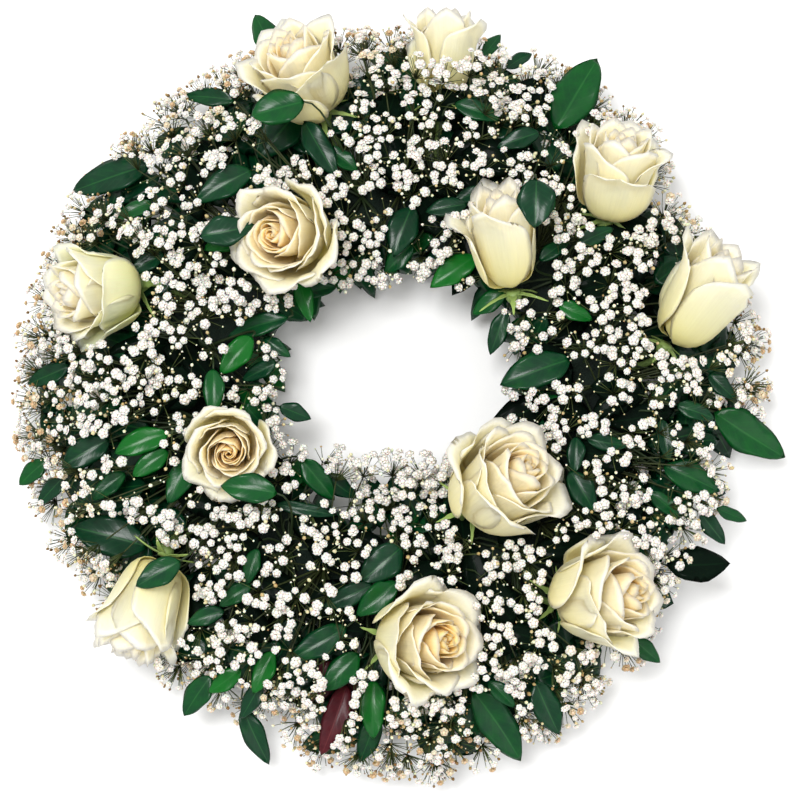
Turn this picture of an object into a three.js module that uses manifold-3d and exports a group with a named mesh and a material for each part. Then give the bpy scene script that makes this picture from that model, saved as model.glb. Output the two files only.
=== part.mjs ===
// Funeral wreath lying on its base: a plastic tray ring with wet floral foam, twelve cream roses, leafy sprigs
// and white gypsophila. Millimetres, +Z up, the tray stands on z = 0 and the ring's axis is the Z axis.
import * as THREE from "three";
import { mergeVertices } from "three/addons/utils/BufferGeometryUtils.js";
import Module from "manifold-3d";

const wasm = await Module();
wasm.setup();

// Base ring
const RING_RADIUS = 130;
const TRAY_HALF_WIDTH = 33;
const TRAY_HEIGHT = 18;
const TRAY_WALL = 2.4;
const FOAM_HALF_WIDTH = 29.5;
const FOAM_BOTTOM = TRAY_WALL + 0.3;
const FOAM_TOP = 48;
const FOAM_BEVEL = 7;
const RING_SEGMENTS = 24;

// Gap kept between neighbouring pieces, and how much a test body is grown to keep it
const GAP = 0.3;
const GROWTH = 0.4;

// Stems
const ROSE_STEM_RADIUS = 2.4;
const ROSE_STEM_DEPTH = 26;
const SPRIG_STEM_RADIUS = 1.9;
const SPRAY_STEM_RADIUS = 1.6;
const TWIG_RADIUS = 1.1;
const FLORET_TWIG_RADIUS = 0.95;
const SPRIG_SIDES = 4;
const TWIG_SIDES = 3;
const SOCKET_FLOOR = 22;
const HUB_HEIGHT = 56;
const HUB_RADIUS = 7.5;
const HUB_START = 2;

// Blooms
const BLOOM_CENTRE_SHARE = 0.56;
const PETAL_THICKNESS = 1.3;
const PETAL_SPIRAL = 0.12;
const CALYX_RADIUS = 5.2;
const SEPAL_COUNT = 5;
const SEPAL_LENGTH = 19;
const SEPAL_DROP = 8;
const CALYX_DEPTH = 4;
const NECK_DEPTH = 10;
const BEND_DEPTH = 22;

// Leaves
const LEAF_THICKNESS = 1.1;
const LEAF_FOLD = 0.22;
const SMALL_LEAF = 30;
const SHARPEST_TURN = 115;
const OUTER_DROOP_RADIUS = 205;
const INNER_DROOP_RADIUS = 95;
const RISING_LEAF = { tilt: 10, droop: 0.22 };
const HANGING_LEAF = { tilt: -6, droop: 0.18 };

// Gypsophila
const SPRAY_COUNT = 16;
const FLORETS_PER_SPRAY = 11;
const FLORET_RADIUS = [11, 14.5];
const FLORET_PETALS = 3;
const FLORET_NOTCH = 0.78;
const FLORET_CUP = 0.3;
const FLORET_DOME = 0.4;
const FLORET_TIP_RISE = 0.12;
const CLOSEST_FLORETS = 1.6;
const TWIG_SPREAD = 10;
const PLACING_ATTEMPTS = 900;
const FLANK_SHARE = 0.3;
const FLANK_RADIUS = 190;
const FLORET_UPTURN = 0.6;
const CLOUD_RADII = [66, 250];
const CLOUD_CENTRE = 152;
const CLOUD_HALF_WIDTH = 104;
const CLOUD_BASE = 14;
const CLOUD_RISE = 92;
const LOWEST_FLORET = 14;
const FLANK_DEPTH = 14;
const TOP_DEPTHS = [2, 12];
const RANDOM_SEED = 4711;

const UP = new THREE.Vector3(0, 0, 1);
const DEG = Math.PI / 180;

// Colours read off the flowers and leaves
const material = (color, roughness) => new THREE.MeshStandardMaterial({ color, roughness, metalness: 0 });
const TRAY_PLASTIC = material(0x1f3a28, 0.5);
const FOAM_GREEN = material(0x2f5a35, 0.95);
const ROSE_CREAM = material(0xf0dcae, 0.7);
const STEM_GREEN = material(0x5d7a3a, 0.6);
const LEAF_GREEN = material(0x2a4a2b, 0.4);
const LEAF_MAROON = material(0x5a2328, 0.45);
const FLORET_WHITE = material(0xf2f2ee, 0.85);

// Seeded random draws
let randomState = RANDOM_SEED;
function random() {
  randomState = (randomState * 1664525 + 1013904223) % 4294967296;
  return randomState / 4294967296;
}
const between = (low, high) => low + (high - low) * random();
const vec = (x, y, z) => new THREE.Vector3(x, y, z);
const polar = (radius, angle, z) => vec(radius * Math.cos(angle * DEG), radius * Math.sin(angle * DEG), z);

// A closed geometry as a solid, with shared corners merged and folded-up triangles dropped
function solid(geometry) {
  geometry.deleteAttribute("normal");
  geometry.deleteAttribute("uv");
  const merged = mergeVertices(geometry, 1e-4);
  const corners = merged.index.array;
  const kept = [];
  for (let i = 0; i < corners.length; i += 3) {
    const [a, b, c] = [corners[i], corners[i + 1], corners[i + 2]];
    if (a !== b && b !== c && c !== a) kept.push(a, b, c);
  }
  const points = merged.attributes.position.array;
  return new wasm.Manifold(new wasm.Mesh({ numProp: 3, vertProperties: points, triVerts: new Uint32Array(kept) }));
}

const join = (bodies) => bodies.reduce((whole, body) => whole.add(body));

// The one main body of a fused piece: inner pockets are filled and loose scraps dropped
function mainBody(body) {
  const pieces = body.decompose();
  return pieces.reduce((best, piece) => (piece.volume() > best.volume() ? piece : best));
}

// Rings joined into one skin: equally many points, twice as many, half as many, or one point that closes to a tip
function loft(rings) {
  const points = rings.flat();
  const index = [];
  let start = 0;
  for (let i = 0; i + 1 < rings.length; i++) {
    const here = rings[i].length;
    const next = rings[i + 1].length;
    const count = Math.max(here, next);
    if (here > 1 && next > 1 && here !== next) {
      const few = Math.min(here, next);
      const [fewStart, manyStart] = here < next ? [start, start + here] : [start + here, start];
      for (let j = 0; j < few; j++) {
        const a = fewStart + j;
        const b = fewStart + ((j + 1) % few);
        const [c, d, e] = [2 * j, 2 * j + 1, (2 * j + 2) % count].map((n) => manyStart + n);
        const fan = [[a, b, d], [b, e, d], [a, d, c]];
        for (const [p, q, r] of fan) index.push(...(here < next ? [p, q, r] : [p, r, q]));
      }
      start += here;
      continue;
    }
    for (let j = 0; j < count; j++) {
      const k = (j + 1) % count;
      const a = start + (here > 1 ? j : 0);
      const b = start + (here > 1 ? k : 0);
      const c = start + here + (next > 1 ? k : 0);
      const d = start + here + (next > 1 ? j : 0);
      if (here > 1) index.push(a, b, c);
      if (next > 1) index.push(a, c, d);
    }
    start += here;
  }
  const last = rings[rings.length - 1].length;
  for (let j = 1; j + 1 < rings[0].length; j++) index.push(0, j + 1, j);
  for (let j = 1; j + 1 < last; j++) index.push(start, start + j, start + j + 1);
  const geometry = new THREE.BufferGeometry().setFromPoints(points);
  geometry.setIndex(index);
  return solid(geometry);
}

// A ring of points round a centre, square to a direction; radii and rises along it may differ from point to point
function ringAt(centre, tangent, reference, radii, sides, rises = [0]) {
  const side = vec(0, 0, 0).crossVectors(tangent, reference).normalize();
  const lift = vec(0, 0, 0).crossVectors(side, tangent);
  return Array.from({ length: sides }, (_, j) => {
    const turn = (-2 * Math.PI * j) / sides;
    const radius = radii[j % radii.length];
    const spoke = side.clone().multiplyScalar(radius * Math.cos(turn));
    spoke.addScaledVector(lift, radius * Math.sin(turn)).addScaledVector(tangent, rises[j % rises.length]);
    return spoke.add(centre);
  });
}

// The rings of a straight or bent stem, with a radius at each point of its path
function stemRings(path, radii, sides, grow = 0, chosen = null) {
  const along = vec(0, 0, 0).subVectors(path[path.length - 1], path[0]).normalize();
  const reference = chosen ?? (Math.abs(along.z) < 0.8 ? UP : vec(1, 0, 0));
  return path.map((point, i) => {
    const before = path[Math.max(0, i - 1)];
    const after = path[Math.min(path.length - 1, i + 1)];
    const tangent = vec(0, 0, 0).subVectors(after, before).normalize();
    const radius = (Array.isArray(radii) ? radii[i] : radii) + grow;
    const centre = point.clone();
    if (i === 0) centre.addScaledVector(tangent, -grow);
    if (i === path.length - 1) centre.addScaledVector(tangent, grow);
    return ringAt(centre, tangent, reference, [radius], sides);
  });
}

const stem = (...details) => loft(stemRings(...details));

// Sections along a leaf: share of its length and share of its half width, fewer on a small leaf
const LEAF_SECTIONS = [[0.2, 0.7], [0.52, 1], [0.82, 0.56]];
const SMALL_LEAF_SECTIONS = [[0.28, 0.85], [0.68, 0.86]];

// A pointed leaf folded along its midrib, thick in the middle and thin at its edges
function leafRings({ base, heading, length, width, tilt, droop }, grow = 0) {
  const forward = polar(1, heading, 0);
  const across = vec(-forward.y, forward.x, 0);
  const slope = Math.tan(tilt * DEG);
  const spine = (u) => {
    const point = base.clone().addScaledVector(forward, length * u);
    return point.addScaledVector(UP, length * (slope * u - droop * u * u));
  };
  const half = LEAF_THICKNESS / 2 + grow;
  const sections = length < SMALL_LEAF ? SMALL_LEAF_SECTIONS : LEAF_SECTIONS;
  const rings = sections.map(([u, share]) => {
    const reach = (width / 2) * share + grow;
    const rise = LEAF_FOLD * reach;
    const middle = spine(u);
    const edge = (side) => middle.clone().addScaledVector(across, side * reach).addScaledVector(UP, rise);
    const rib = (side) => middle.clone().addScaledVector(UP, side * half);
    return [edge(-1), rib(-1), edge(1), rib(1)];
  });
  return [[spine(-grow / length)], ...rings, [spine(1 + grow / length)]];
}

const leaf = (spec, grow = 0) => loft(leafRings(spec, grow));

// Step for the slope of a curved surface
const SURFACE_STEP = 0.02;

// A thin curved plate over a grid, both faces split alike and meeting at the rim
function plate(columns, rows, surface, thickness) {
  const grid = new THREE.PlaneGeometry(2, 1, columns, rows);
  const flat = grid.attributes.position;
  const faces = [1, -1].map((side) => {
    const points = [];
    for (let i = 0; i < flat.count; i++) {
      const s = flat.getX(i);
      const t = flat.getY(i) + 0.5;
      const rim = Math.abs(s) > 0.999 || t < 0.001 || t > 0.999;
      const point = surface(s, t);
      if (!rim) {
        const ds = surface(s + SURFACE_STEP, t).sub(surface(s - SURFACE_STEP, t));
        const dt = surface(s, t + SURFACE_STEP).sub(surface(s, t - SURFACE_STEP));
        point.addScaledVector(ds.cross(dt).normalize(), (side * thickness) / 2);
      }
      points.push(point);
    }
    return points;
  });
  const count = flat.count;
  const index = [];
  const corners = grid.index.array;
  for (let i = 0; i < corners.length; i += 3) {
    index.push(corners[i], corners[i + 1], corners[i + 2]);
    index.push(count + corners[i], count + corners[i + 2], count + corners[i + 1]);
  }
  const geometry = new THREE.BufferGeometry().setFromPoints(faces.flat());
  geometry.setIndex(index);
  return solid(geometry);
}

// Whorls of a bloom from the bud outwards: petals, first angle, half width in degrees, and the path of the petal's
// middle as shares of the bloom's radius and height
const INNER_PATH = [[0.1, 0.2], [0.46, 0.22], [0.46, 0.7], [0.34, 1]];
const MIDDLE_PATH = [[0.1, 0.1], [0.8, 0.1], [0.66, 0.6], [0.72, 0.94]];
const OUTER_PATH = [[0.08, 0.04], [0.98, 0.02], [0.84, 0.5], [1.04, 0.7]];
const WHORLS = [
  { count: 3, start: 20, spread: 66, columns: 2, rows: 2, path: INNER_PATH },
  { count: 3, start: 75, spread: 70, columns: 3, rows: 2, path: MIDDLE_PATH },
  { count: 4, start: 0, spread: 58, columns: 3, rows: 3, path: OUTER_PATH },
];
const BUD_PROFILE = [[0, 0], [0.17, 0], [0.3, 0.36], [0.24, 0.78], [0, 0.9]];
const BUD_SIDES = 5;
const PETAL_ROUNDING = 0.2;
const PETAL_TIP_NARROWING = 0.2;
const PETAL_OPENING = 1.6;

const bezier = ([a, b, c, d], t) => {
  const u = 1 - t;
  return [0, 1].map((k) => u * u * u * a[k] + 3 * u * u * t * b[k] + 3 * u * t * t * c[k] + t * t * t * d[k]);
};

// A bloom standing on the origin, its axis along +Z
function bloomSolid({ diameter, height, place }) {
  const radius = diameter / 2;
  const petals = [];
  for (const { count, start, spread, columns, rows, path } of WHORLS) {
    for (let i = 0; i < count; i++) {
      const middle = start + (360 / count) * i;
      const surface = (s, t) => {
        const lowered = t * (1 - PETAL_ROUNDING * s * s * t * t);
        const [r, z] = bezier(path, lowered);
        const narrowed = 1 - PETAL_TIP_NARROWING * t ** 3;
        const open = narrowed * Math.sin((Math.PI / 2) * Math.min(1, PETAL_OPENING * t));
        const angle = (middle + s * spread * open) * DEG;
        const reach = r * radius * (1 + PETAL_SPIRAL * s * open);
        return place(vec(reach * Math.cos(angle), reach * Math.sin(angle), z * height));
      };
      petals.push(plate(columns, rows, surface, PETAL_THICKNESS));
    }
  }
  const outline = BUD_PROFILE.map(([r, z]) => new THREE.Vector2(r * radius, z * height));
  const bud = new THREE.LatheGeometry(outline, BUD_SIDES);
  const corners = bud.attributes.position;
  for (let i = 0; i < corners.count; i++) {
    const point = vec(corners.getX(i), -corners.getZ(i), corners.getY(i));
    corners.setXYZ(i, ...place(point).toArray());
  }
  return mainBody(join([solid(bud), ...petals]));
}

// The stem of a bloom: from its socket in the foam up to a calyx whose five sepals spread below the petals
function roseStemSolid(rose, grow = 0) {
  const { foot, bend, place, axis, reference } = rose;
  const neck = place(vec(0, 0, -NECK_DEPTH));
  const rings = stemRings([foot, bend, neck], ROSE_STEM_RADIUS, SEPAL_COUNT, grow, reference);
  const points = [CALYX_RADIUS + SEPAL_LENGTH, CALYX_RADIUS].map((radius) => radius + grow);
  const tips = [-SEPAL_DROP, 0];
  const star = ringAt(place(vec(0, 0, -CALYX_DEPTH)), axis, reference, points, 2 * SEPAL_COUNT, tips);
  const top = ringAt(place(vec(0, 0, -GAP + grow)), axis, reference, [CALYX_RADIUS * 0.8], SEPAL_COUNT);
  return loft([...rings, star, top]);
}

// Rings of the base
function ringSolid(profile) {
  const outline = profile.map(([r, z]) => new THREE.Vector2(RING_RADIUS + r, z));
  outline.push(outline[0].clone());
  const geometry = new THREE.LatheGeometry(outline, RING_SEGMENTS);
  geometry.rotateX(Math.PI / 2);
  return solid(geometry);
}

// Roses: name, centre of the bloom, its diameter and height, the lean of its axis from upright and the direction it
// leans to, and the radius and angle of its socket in the foam
const ROSES = [
  { name: "upper_left", centre: [-66, 205, 86], size: [72, 62], lean: 42, toward: 125, socket: [147, 104] },
  { name: "inner_upper_left", centre: [-74, 88, 110], size: [72, 56], lean: 28, toward: 205, socket: [116, 118] },
  { name: "top", centre: [29, 223, 72], size: [54, 54], lean: 70, toward: 87, socket: [147, 81] },
  { name: "upper_right", centre: [141, 135, 90], size: [64, 60], lean: 48, toward: 79, socket: [147, 35] },
  { name: "inner_upper_right", centre: [68, 88, 98], size: [58, 64], lean: 56, toward: 101, socket: [114, 40] },
  { name: "right", centre: [195, 54, 84], size: [62, 70], lean: 60, toward: 55, socket: [147, 6] },
  { name: "left", centre: [-200, 57, 82], size: [66, 58], lean: 58, toward: 198, socket: [147, 157] },
  { name: "inner_left", centre: [-108, -50, 104], size: [59, 44], lean: 22, toward: 270, socket: [116, 197] },
  { name: "inner_lower_right", centre: [67, -71, 108], size: [76, 66], lean: 42, toward: 32, socket: [114, 296] },
  { name: "bottom", centre: [16, -170, 100], size: [72, 62], lean: 38, toward: 352, socket: [147, 273] },
  { name: "lower_right", centre: [131, -141, 90], size: [74, 66], lean: 49, toward: 3, socket: [147, 303] },
  { name: "lower_left", centre: [-164, -150, 74], size: [60, 66], lean: 84, toward: 251, socket: [147, 218] },
];

// Leaves of the sixteen sprigs, counted round from the right: x, y and z of the leaf's foot, heading, length, width
const SPRIG_LEAVES = [
  [[203, 7, 58, -45, 24, 12], [111, 14, 72, -160, 49, 25]],
  [[70, 50, 56, -110, 30, 13], [69, 62, 64, -145, 26, 14]],
  [[100, 118, 112, -135, 32, 16], [104, 172, 62, 60, 58, 30], [50, 84, 70, -145, 37, 18],
    [92, 164, 84, -160, 30, 14]],
  [[44, 114, 88, -170, 28, 13], [36, 185, 80, -20, 32, 14], [8, 93, 64, -135, 26, 14],
    [8, 116, 75, -110, 36, 21]],
  [[-49, 154, 80, -35, 26, 13], [-66, 191, 78, -130, 46, 28], [-63, 171, 85, -60, 43, 18],
    [-84, 228, 50, 115, 36, 18]],
  [[-111, 194, 58, 170, 36, 13], [-97, 138, 85, -150, 42, 20], [-94, 101, 92, -155, 38, 18],
    [-67, 71, 62, -75, 31, 13]],
  [[-168, 151, 52, -165, 56, 24], [-73, 42, 72, -165, 42, 15]],
  [[-96, 28, 78, -130, 32, 17], [-219, 14, 48, -160, 31, 14], [-120, 4, 92, -90, 30, 14]],
  [[-189, -38, 66, -150, 36, 19], [-149, -37, 84, -160, 37, 17], [-178, -60, 68, -140, 28, 13],
    [-135, -53, 82, -115, 32, 17]],
  [[-104, -60, 78, -65, 25, 16], [-164, -107, 56, 165, 52, 28], [-64, -51, 64, -50, 33, 16],
    [-138, -121, 88, -150, 32, 18]],
  [[-80, -82, 78, -10, 40, 9], [-50, -59, 60, -35, 26, 13], [-122, -190, 52, -125, 31, 17],
    [-102, -186, 62, -145, 26, 13], [-102, -210, 42, -65, 40, 15], [-81, -175, 68, -115, 30, 14]],
  [[-34, -160, 74, -150, 42, 18], [-26, -177, 72, -135, 33, 18], [-17, -134, 82, -155, 35, 14],
    [-17, -193, 62, -90, 38, 17], [-15, -214, 48, -110, 33, 15], [-2, -132, 88, -140, 34, 17]],
  [[1, -110, 84, -140, 34, 23], [47, -200, 58, -55, 54, 24]],
  [[87, -194, 58, -65, 37, 19]],
  [[109, -61, 82, -60, 31, 17], [196, -84, 52, -50, 26, 12]],
  [[114, -38, 78, -95, 24, 12], [171, -55, 66, -25, 40, 20], [169, -26, 74, -80, 28, 11],
    [180, -16, 70, -20, 26, 12], [207, -17, 50, -30, 56, 26]],
];
const MAROON_LEAF = [-34, -195, 54, -110, 49, 17];
const MAROON_STEM = { angle: 261, radius: 144 };

// Blooms
const group = new THREE.Group();
const families = {};
for (const name of ["base", "roses", "foliage", "gypsophila"]) {
  families[name] = new THREE.Group();
  group.add(families[name]);
}
const placed = [];
const sockets = [];

function addMesh(family, name, body, finish, origin) {
  const { numProp, vertProperties, triVerts } = body.getMesh();
  const points = [];
  for (let i = 0; i < vertProperties.length; i += numProp) {
    points.push(vec(vertProperties[i], vertProperties[i + 1], vertProperties[i + 2]).sub(origin));
  }
  const geometry = new THREE.BufferGeometry().setFromPoints(points);
  geometry.setIndex(Array.from(triVerts));
  geometry.computeVertexNormals();
  const mesh = new THREE.Mesh(geometry, finish);
  mesh.name = name;
  mesh.position.copy(origin);
  families[family].add(mesh);
}

const touches = (a, b) => [0, 1, 2].every((k) => a.min[k] <= b.max[k] && b.min[k] <= a.max[k]);

// Whether a grown body keeps clear of every piece placed before it, apart from its owner's
function isClear(body, owner = "") {
  const box = body.boundingBox();
  const near = placed.filter((other) => other.owner !== owner && touches(box, other.box));
  return !near.some((other) => !body.intersect(other.body).isEmpty());
}

function settle(body, owner) {
  placed.push({ body, box: body.boundingBox(), owner });
}

for (const rose of ROSES) {
  const axis = polar(Math.sin(rose.lean * DEG), rose.toward, Math.cos(rose.lean * DEG));
  const turn = new THREE.Quaternion().setFromUnitVectors(UP, axis);
  [rose.diameter, rose.height] = rose.size;
  const base = vec(...rose.centre).addScaledVector(axis, -BLOOM_CENTRE_SHARE * rose.height);
  rose.place = (point) => point.applyQuaternion(turn).add(base);
  rose.base = base;
  rose.foot = polar(rose.socket[0], rose.socket[1], ROSE_STEM_DEPTH);
  rose.bend = base.clone().addScaledVector(axis, -BEND_DEPTH);
  rose.axis = axis;
  const rising = rose.bend.clone().sub(rose.foot).normalize();
  const sidelong = [vec(1, 0, 0), vec(0, 1, 0)].map((side) => side.applyQuaternion(turn));
  rose.reference = sidelong.reduce((a, b) => (Math.abs(a.dot(rising)) < Math.abs(b.dot(rising)) ? a : b));
  rose.body = bloomSolid(rose);
  rose.stemBody = roseStemSolid(rose);
  settle(rose.body, rose.name);
  settle(rose.stemBody, rose.name);
  sockets.push([rose.foot, rose.bend, ROSE_STEM_RADIUS, SEPAL_COUNT, rose.reference]);
  addMesh("roses", "rose_" + rose.name + "_bloom", rose.body, ROSE_CREAM, base);
  addMesh("roses", "rose_" + rose.name + "_stem", rose.stemBody, STEM_GREEN, base);
}

// Trial heights, bends and turns for what has to keep clear of its neighbours
const HEIGHT_TRIALS = [0, -5, 5, -10, 10, -15, 15, -20, 20, -26, 26, -32];
const RAISED_TRIALS = [[0, 0], [0, -9], [0, 9], [0, 18]];
const SIDEWAYS_TRIALS = [[8, 0], [-8, 0], [12, 9], [-12, 9]];
const TWIG_TRIALS = [...RAISED_TRIALS, ...SIDEWAYS_TRIALS, [0, 28], [18, 0], [-18, 0], [0, 40]];
const SOCKET_TRIALS = [0, 2, -2, 4, -4, 6, -6, 8, -8];

// Every sprig and spray gets its place in the foam before anything grows from it
function reserveHub(owner, angle, radius, stemRadius) {
  for (const shift of SOCKET_TRIALS) {
    const foot = polar(radius, angle + shift, SOCKET_FLOOR);
    const hub = polar(radius, angle + shift, HUB_HEIGHT);
    const ball = new THREE.OctahedronGeometry(HUB_RADIUS + GROWTH).translate(hub.x, hub.y, hub.z);
    const upright = stem([foot, hub], stemRadius, SPRIG_SIDES, 2 * GROWTH);
    if (!isClear(solid(ball)) || !isClear(upright)) continue;
    const body = hubSolid(foot, hub, stemRadius);
    settle(body, owner);
    sockets.push([foot, hub, stemRadius, SPRIG_SIDES]);
    return { owner, hub, body };
  }
  throw new Error("no room for " + owner);
}

// The upright stem of a sprig or spray with the knot its twigs grow from
function hubSolid(foot, hub, radius) {
  const ball = new THREE.OctahedronGeometry(HUB_RADIUS).translate(hub.x, hub.y, hub.z);
  return stem([foot, hub], radius, SPRIG_SIDES).add(solid(ball));
}

// A twig from a knot to a point, straight or bent aside and upwards at its middle
function twigPath(hub, to, [sideways, raised]) {
  const aim = to.clone().addScaledVector(UP, 2 * raised).sub(hub).normalize();
  const from = hub.clone().addScaledVector(aim, HUB_START);
  if (!sideways && !raised) return [from, to];
  const middle = from.clone().lerp(to, 0.5).addScaledVector(UP, raised);
  const across = vec(from.y - to.y, to.x - from.x, 0).normalize();
  return [from, middle.addScaledVector(across, sideways), to];
}

const bentTwig = (hub, to, bend, grow = 0) => stem(twigPath(hub, to, bend), TWIG_RADIUS, TWIG_SIDES, grow);

function leafOf([x, y, z, heading, length, width], lift) {
  const radius = Math.hypot(x, y);
  const hanging = radius > OUTER_DROOP_RADIUS || radius < INNER_DROOP_RADIUS;
  return { base: vec(x, y, z + lift), heading, length, width, ...(hanging ? HANGING_LEAF : RISING_LEAF) };
}

// A leaf and its twig: one skin where the twig runs on into the leaf, two crossing pieces where it turns back sharply
function leafOnTwig(spec, hub, bend, grow = 0) {
  const forward = polar(1, spec.heading, 0);
  const path = twigPath(hub, spec.base, bend);
  const arriving = vec(0, 0, 0).subVectors(spec.base, path[path.length - 2]).normalize();
  if (arriving.angleTo(forward) > SHARPEST_TURN * DEG) {
    const joint = spec.base.clone().addScaledVector(forward, 1);
    return [leaf(spec, grow), bentTwig(hub, joint, bend, grow)];
  }
  const rings = path.map((point, i) => {
    const tangent = vec(0, 0, 0).subVectors(path[Math.min(i + 1, path.length - 1)], path[Math.max(0, i - 1)]);
    tangent.normalize();
    if (i === path.length - 1) tangent.add(forward).normalize();
    const reference = UP.clone().addScaledVector(forward, -tangent.z);
    return ringAt(point, tangent, reference, [TWIG_RADIUS + grow], 4);
  });
  return [loft([...rings, ...leafRings(spec, grow).slice(1)])];
}

// A leaf with its twig, at the first height and bend that keeps clear of everything placed before
function placeLeaf(row, { hub, owner }) {
  for (const lift of HEIGHT_TRIALS) {
    const spec = leafOf(row, lift);
    if (!isClear(leaf(spec, GROWTH), owner)) continue;
    for (const bend of TWIG_TRIALS) {
      const grown = leafOnTwig(spec, hub, bend, GROWTH);
      if (grown.every((body) => isClear(body, owner))) return leafOnTwig(spec, hub, bend);
    }
  }
  throw new Error("no room for the leaf at " + row.slice(0, 2));
}

const SECTOR = 360 / SPRAY_COUNT;
const padded = (number) => String(number + 1).padStart(2, "0");
const sprigName = (k) => "leaf_sprig_" + padded(k);
const sprayName = (k) => "gypsophila_spray_" + padded(k);
const sprigHubs = SPRIG_LEAVES.map((_, k) => {
  return reserveHub(sprigName(k), (k + 0.5) * SECTOR, RING_RADIUS, SPRIG_STEM_RADIUS);
});
const maroonHub = reserveHub("maroon_leaf", MAROON_STEM.angle, MAROON_STEM.radius, SPRIG_STEM_RADIUS);
const sprayHubs = Array.from({ length: SPRAY_COUNT }, (_, k) => {
  return reserveHub(sprayName(k), k * SECTOR, RING_RADIUS, SPRAY_STEM_RADIUS);
});

// Tray and foam, the foam with a socket for every stem
const inner = TRAY_HALF_WIDTH - TRAY_WALL;
const tray = ringSolid([
  [-TRAY_HALF_WIDTH, 0],
  [TRAY_HALF_WIDTH, 0],
  [TRAY_HALF_WIDTH, TRAY_HEIGHT],
  [inner, TRAY_HEIGHT],
  [inner, TRAY_WALL],
  [-inner, TRAY_WALL],
  [-inner, TRAY_HEIGHT],
  [-TRAY_HALF_WIDTH, TRAY_HEIGHT],
]);
let foam = ringSolid([
  [-FOAM_HALF_WIDTH, FOAM_BOTTOM],
  [FOAM_HALF_WIDTH, FOAM_BOTTOM],
  [FOAM_HALF_WIDTH, FOAM_TOP - FOAM_BEVEL],
  [FOAM_HALF_WIDTH - FOAM_BEVEL, FOAM_TOP],
  [FOAM_BEVEL - FOAM_HALF_WIDTH, FOAM_TOP],
  [-FOAM_HALF_WIDTH, FOAM_TOP - FOAM_BEVEL],
]);
for (const [foot, top, radius, sides, reference] of sockets) {
  foam = foam.subtract(stem([foot, top], radius, sides, GROWTH, reference));
}
addMesh("base", "base_tray", tray, TRAY_PLASTIC, vec(0, 0, 0));
addMesh("base", "floral_foam", foam, FOAM_GREEN, vec(0, 0, FOAM_BOTTOM));
settle(tray, "base_tray");
settle(foam, "floral_foam");

// Sprigs: each leaf on a twig of its own from the knot
SPRIG_LEAVES.forEach((rows, k) => {
  const place = sprigHubs[k];
  const body = mainBody(join([place.body, ...rows.flatMap((row) => placeLeaf(row, place))]));
  settle(body, place.owner);
  addMesh("foliage", place.owner, body, LEAF_GREEN, place.hub);
});

// The dark red leaf stands on a stem of its own
const maroonBody = mainBody(join([maroonHub.body, ...placeLeaf(MAROON_LEAF, maroonHub)]));
settle(maroonBody, maroonHub.owner);
addMesh("foliage", "maroon_leaf", maroonBody, LEAF_MAROON, maroonHub.hub);

// A floret on its twig: the twig's last ring opens into a star of petals with a domed top
function floret(hub, centre, radius, bend, grow = 0) {
  const path = twigPath(hub, centre, bend);
  const arriving = vec(0, 0, 0).subVectors(centre, path[path.length - 2]).normalize();
  const axis = arriving.clone().lerp(UP, FLORET_UPTURN).normalize();
  const reference = vec(-arriving.y, arriving.x, 0).normalize();
  const rings = stemRings(path, FLORET_TWIG_RADIUS, FLORET_PETALS, grow, reference);
  const reach = radius + grow;
  const middle = centre.clone().addScaledVector(axis, radius * FLORET_CUP);
  const radii = [reach, reach * FLORET_NOTCH];
  const star = ringAt(middle, axis, reference, radii, 2 * FLORET_PETALS, [radius * FLORET_TIP_RISE, 0]);
  const top = middle.clone().addScaledVector(axis, reach * FLORET_DOME);
  return loft([...rings, star, [top]]);
}

const cloudHeight = (radius) => {
  const share = (radius - CLOUD_CENTRE) / CLOUD_HALF_WIDTH;
  return CLOUD_BASE + CLOUD_RISE * Math.sqrt(Math.max(0, 1 - share * share));
};

// A place for a floret, anywhere in a spray's own sector of the cloud
function spotInSector(k) {
  const share = random();
  const radius = Math.sqrt(CLOUD_RADII[0] ** 2 + share * (CLOUD_RADII[1] ** 2 - CLOUD_RADII[0] ** 2));
  const onFlank = radius > FLANK_RADIUS && random() < FLANK_SHARE;
  const depth = onFlank ? between(FLANK_DEPTH, cloudHeight(radius) - LOWEST_FLORET) : between(...TOP_DEPTHS);
  return polar(radius, (k + between(-0.5, 0.5)) * SECTOR, cloudHeight(radius) - depth);
}

// Sprays of gypsophila: florets on thin twigs, spread over their part of the cloud
for (let k = 0; k < SPRAY_COUNT; k++) {
  const { hub, owner, body: upright } = sprayHubs[k];
  const parts = [upright];
  const spots = [];
  for (let attempt = 0; attempt < PLACING_ATTEMPTS && spots.length < FLORETS_PER_SPRAY; attempt++) {
    const size = between(...FLORET_RADIUS);
    const spot = spotInSector(k);
    const apart = (other) => (2 * other.centre.distanceTo(spot)) / (other.size + size);
    if (spots.some((other) => apart(other) < CLOSEST_FLORETS)) continue;
    const aim = spot.clone().sub(hub);
    if (spots.some((other) => other.centre.clone().sub(hub).angleTo(aim) < TWIG_SPREAD * DEG)) continue;
    const bend = TWIG_TRIALS.find((trial) => isClear(floret(hub, spot, size, trial, GROWTH), owner));
    if (!bend) continue;
    spots.push({ centre: spot, size });
    parts.push(floret(hub, spot, size, bend));
  }
  const body = mainBody(join(parts));
  settle(body, owner);
  addMesh("gypsophila", owner, body, FLORET_WHITE, hub);
}

export default group;
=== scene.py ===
# %% [markdown]
# # A funeral wreath: cream roses, gypsophila and glossy leaves
#
# This lesson dresses a solid model of a round wreath with fine petals, leaf blades, florets and stems.
# The solid model is loaded first and is never moved. Every piece below is made in metres in the same
# frame, so it lands where its solid stands. Sizes are written in millimetres, because that is how a
# florist would give them.

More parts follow.
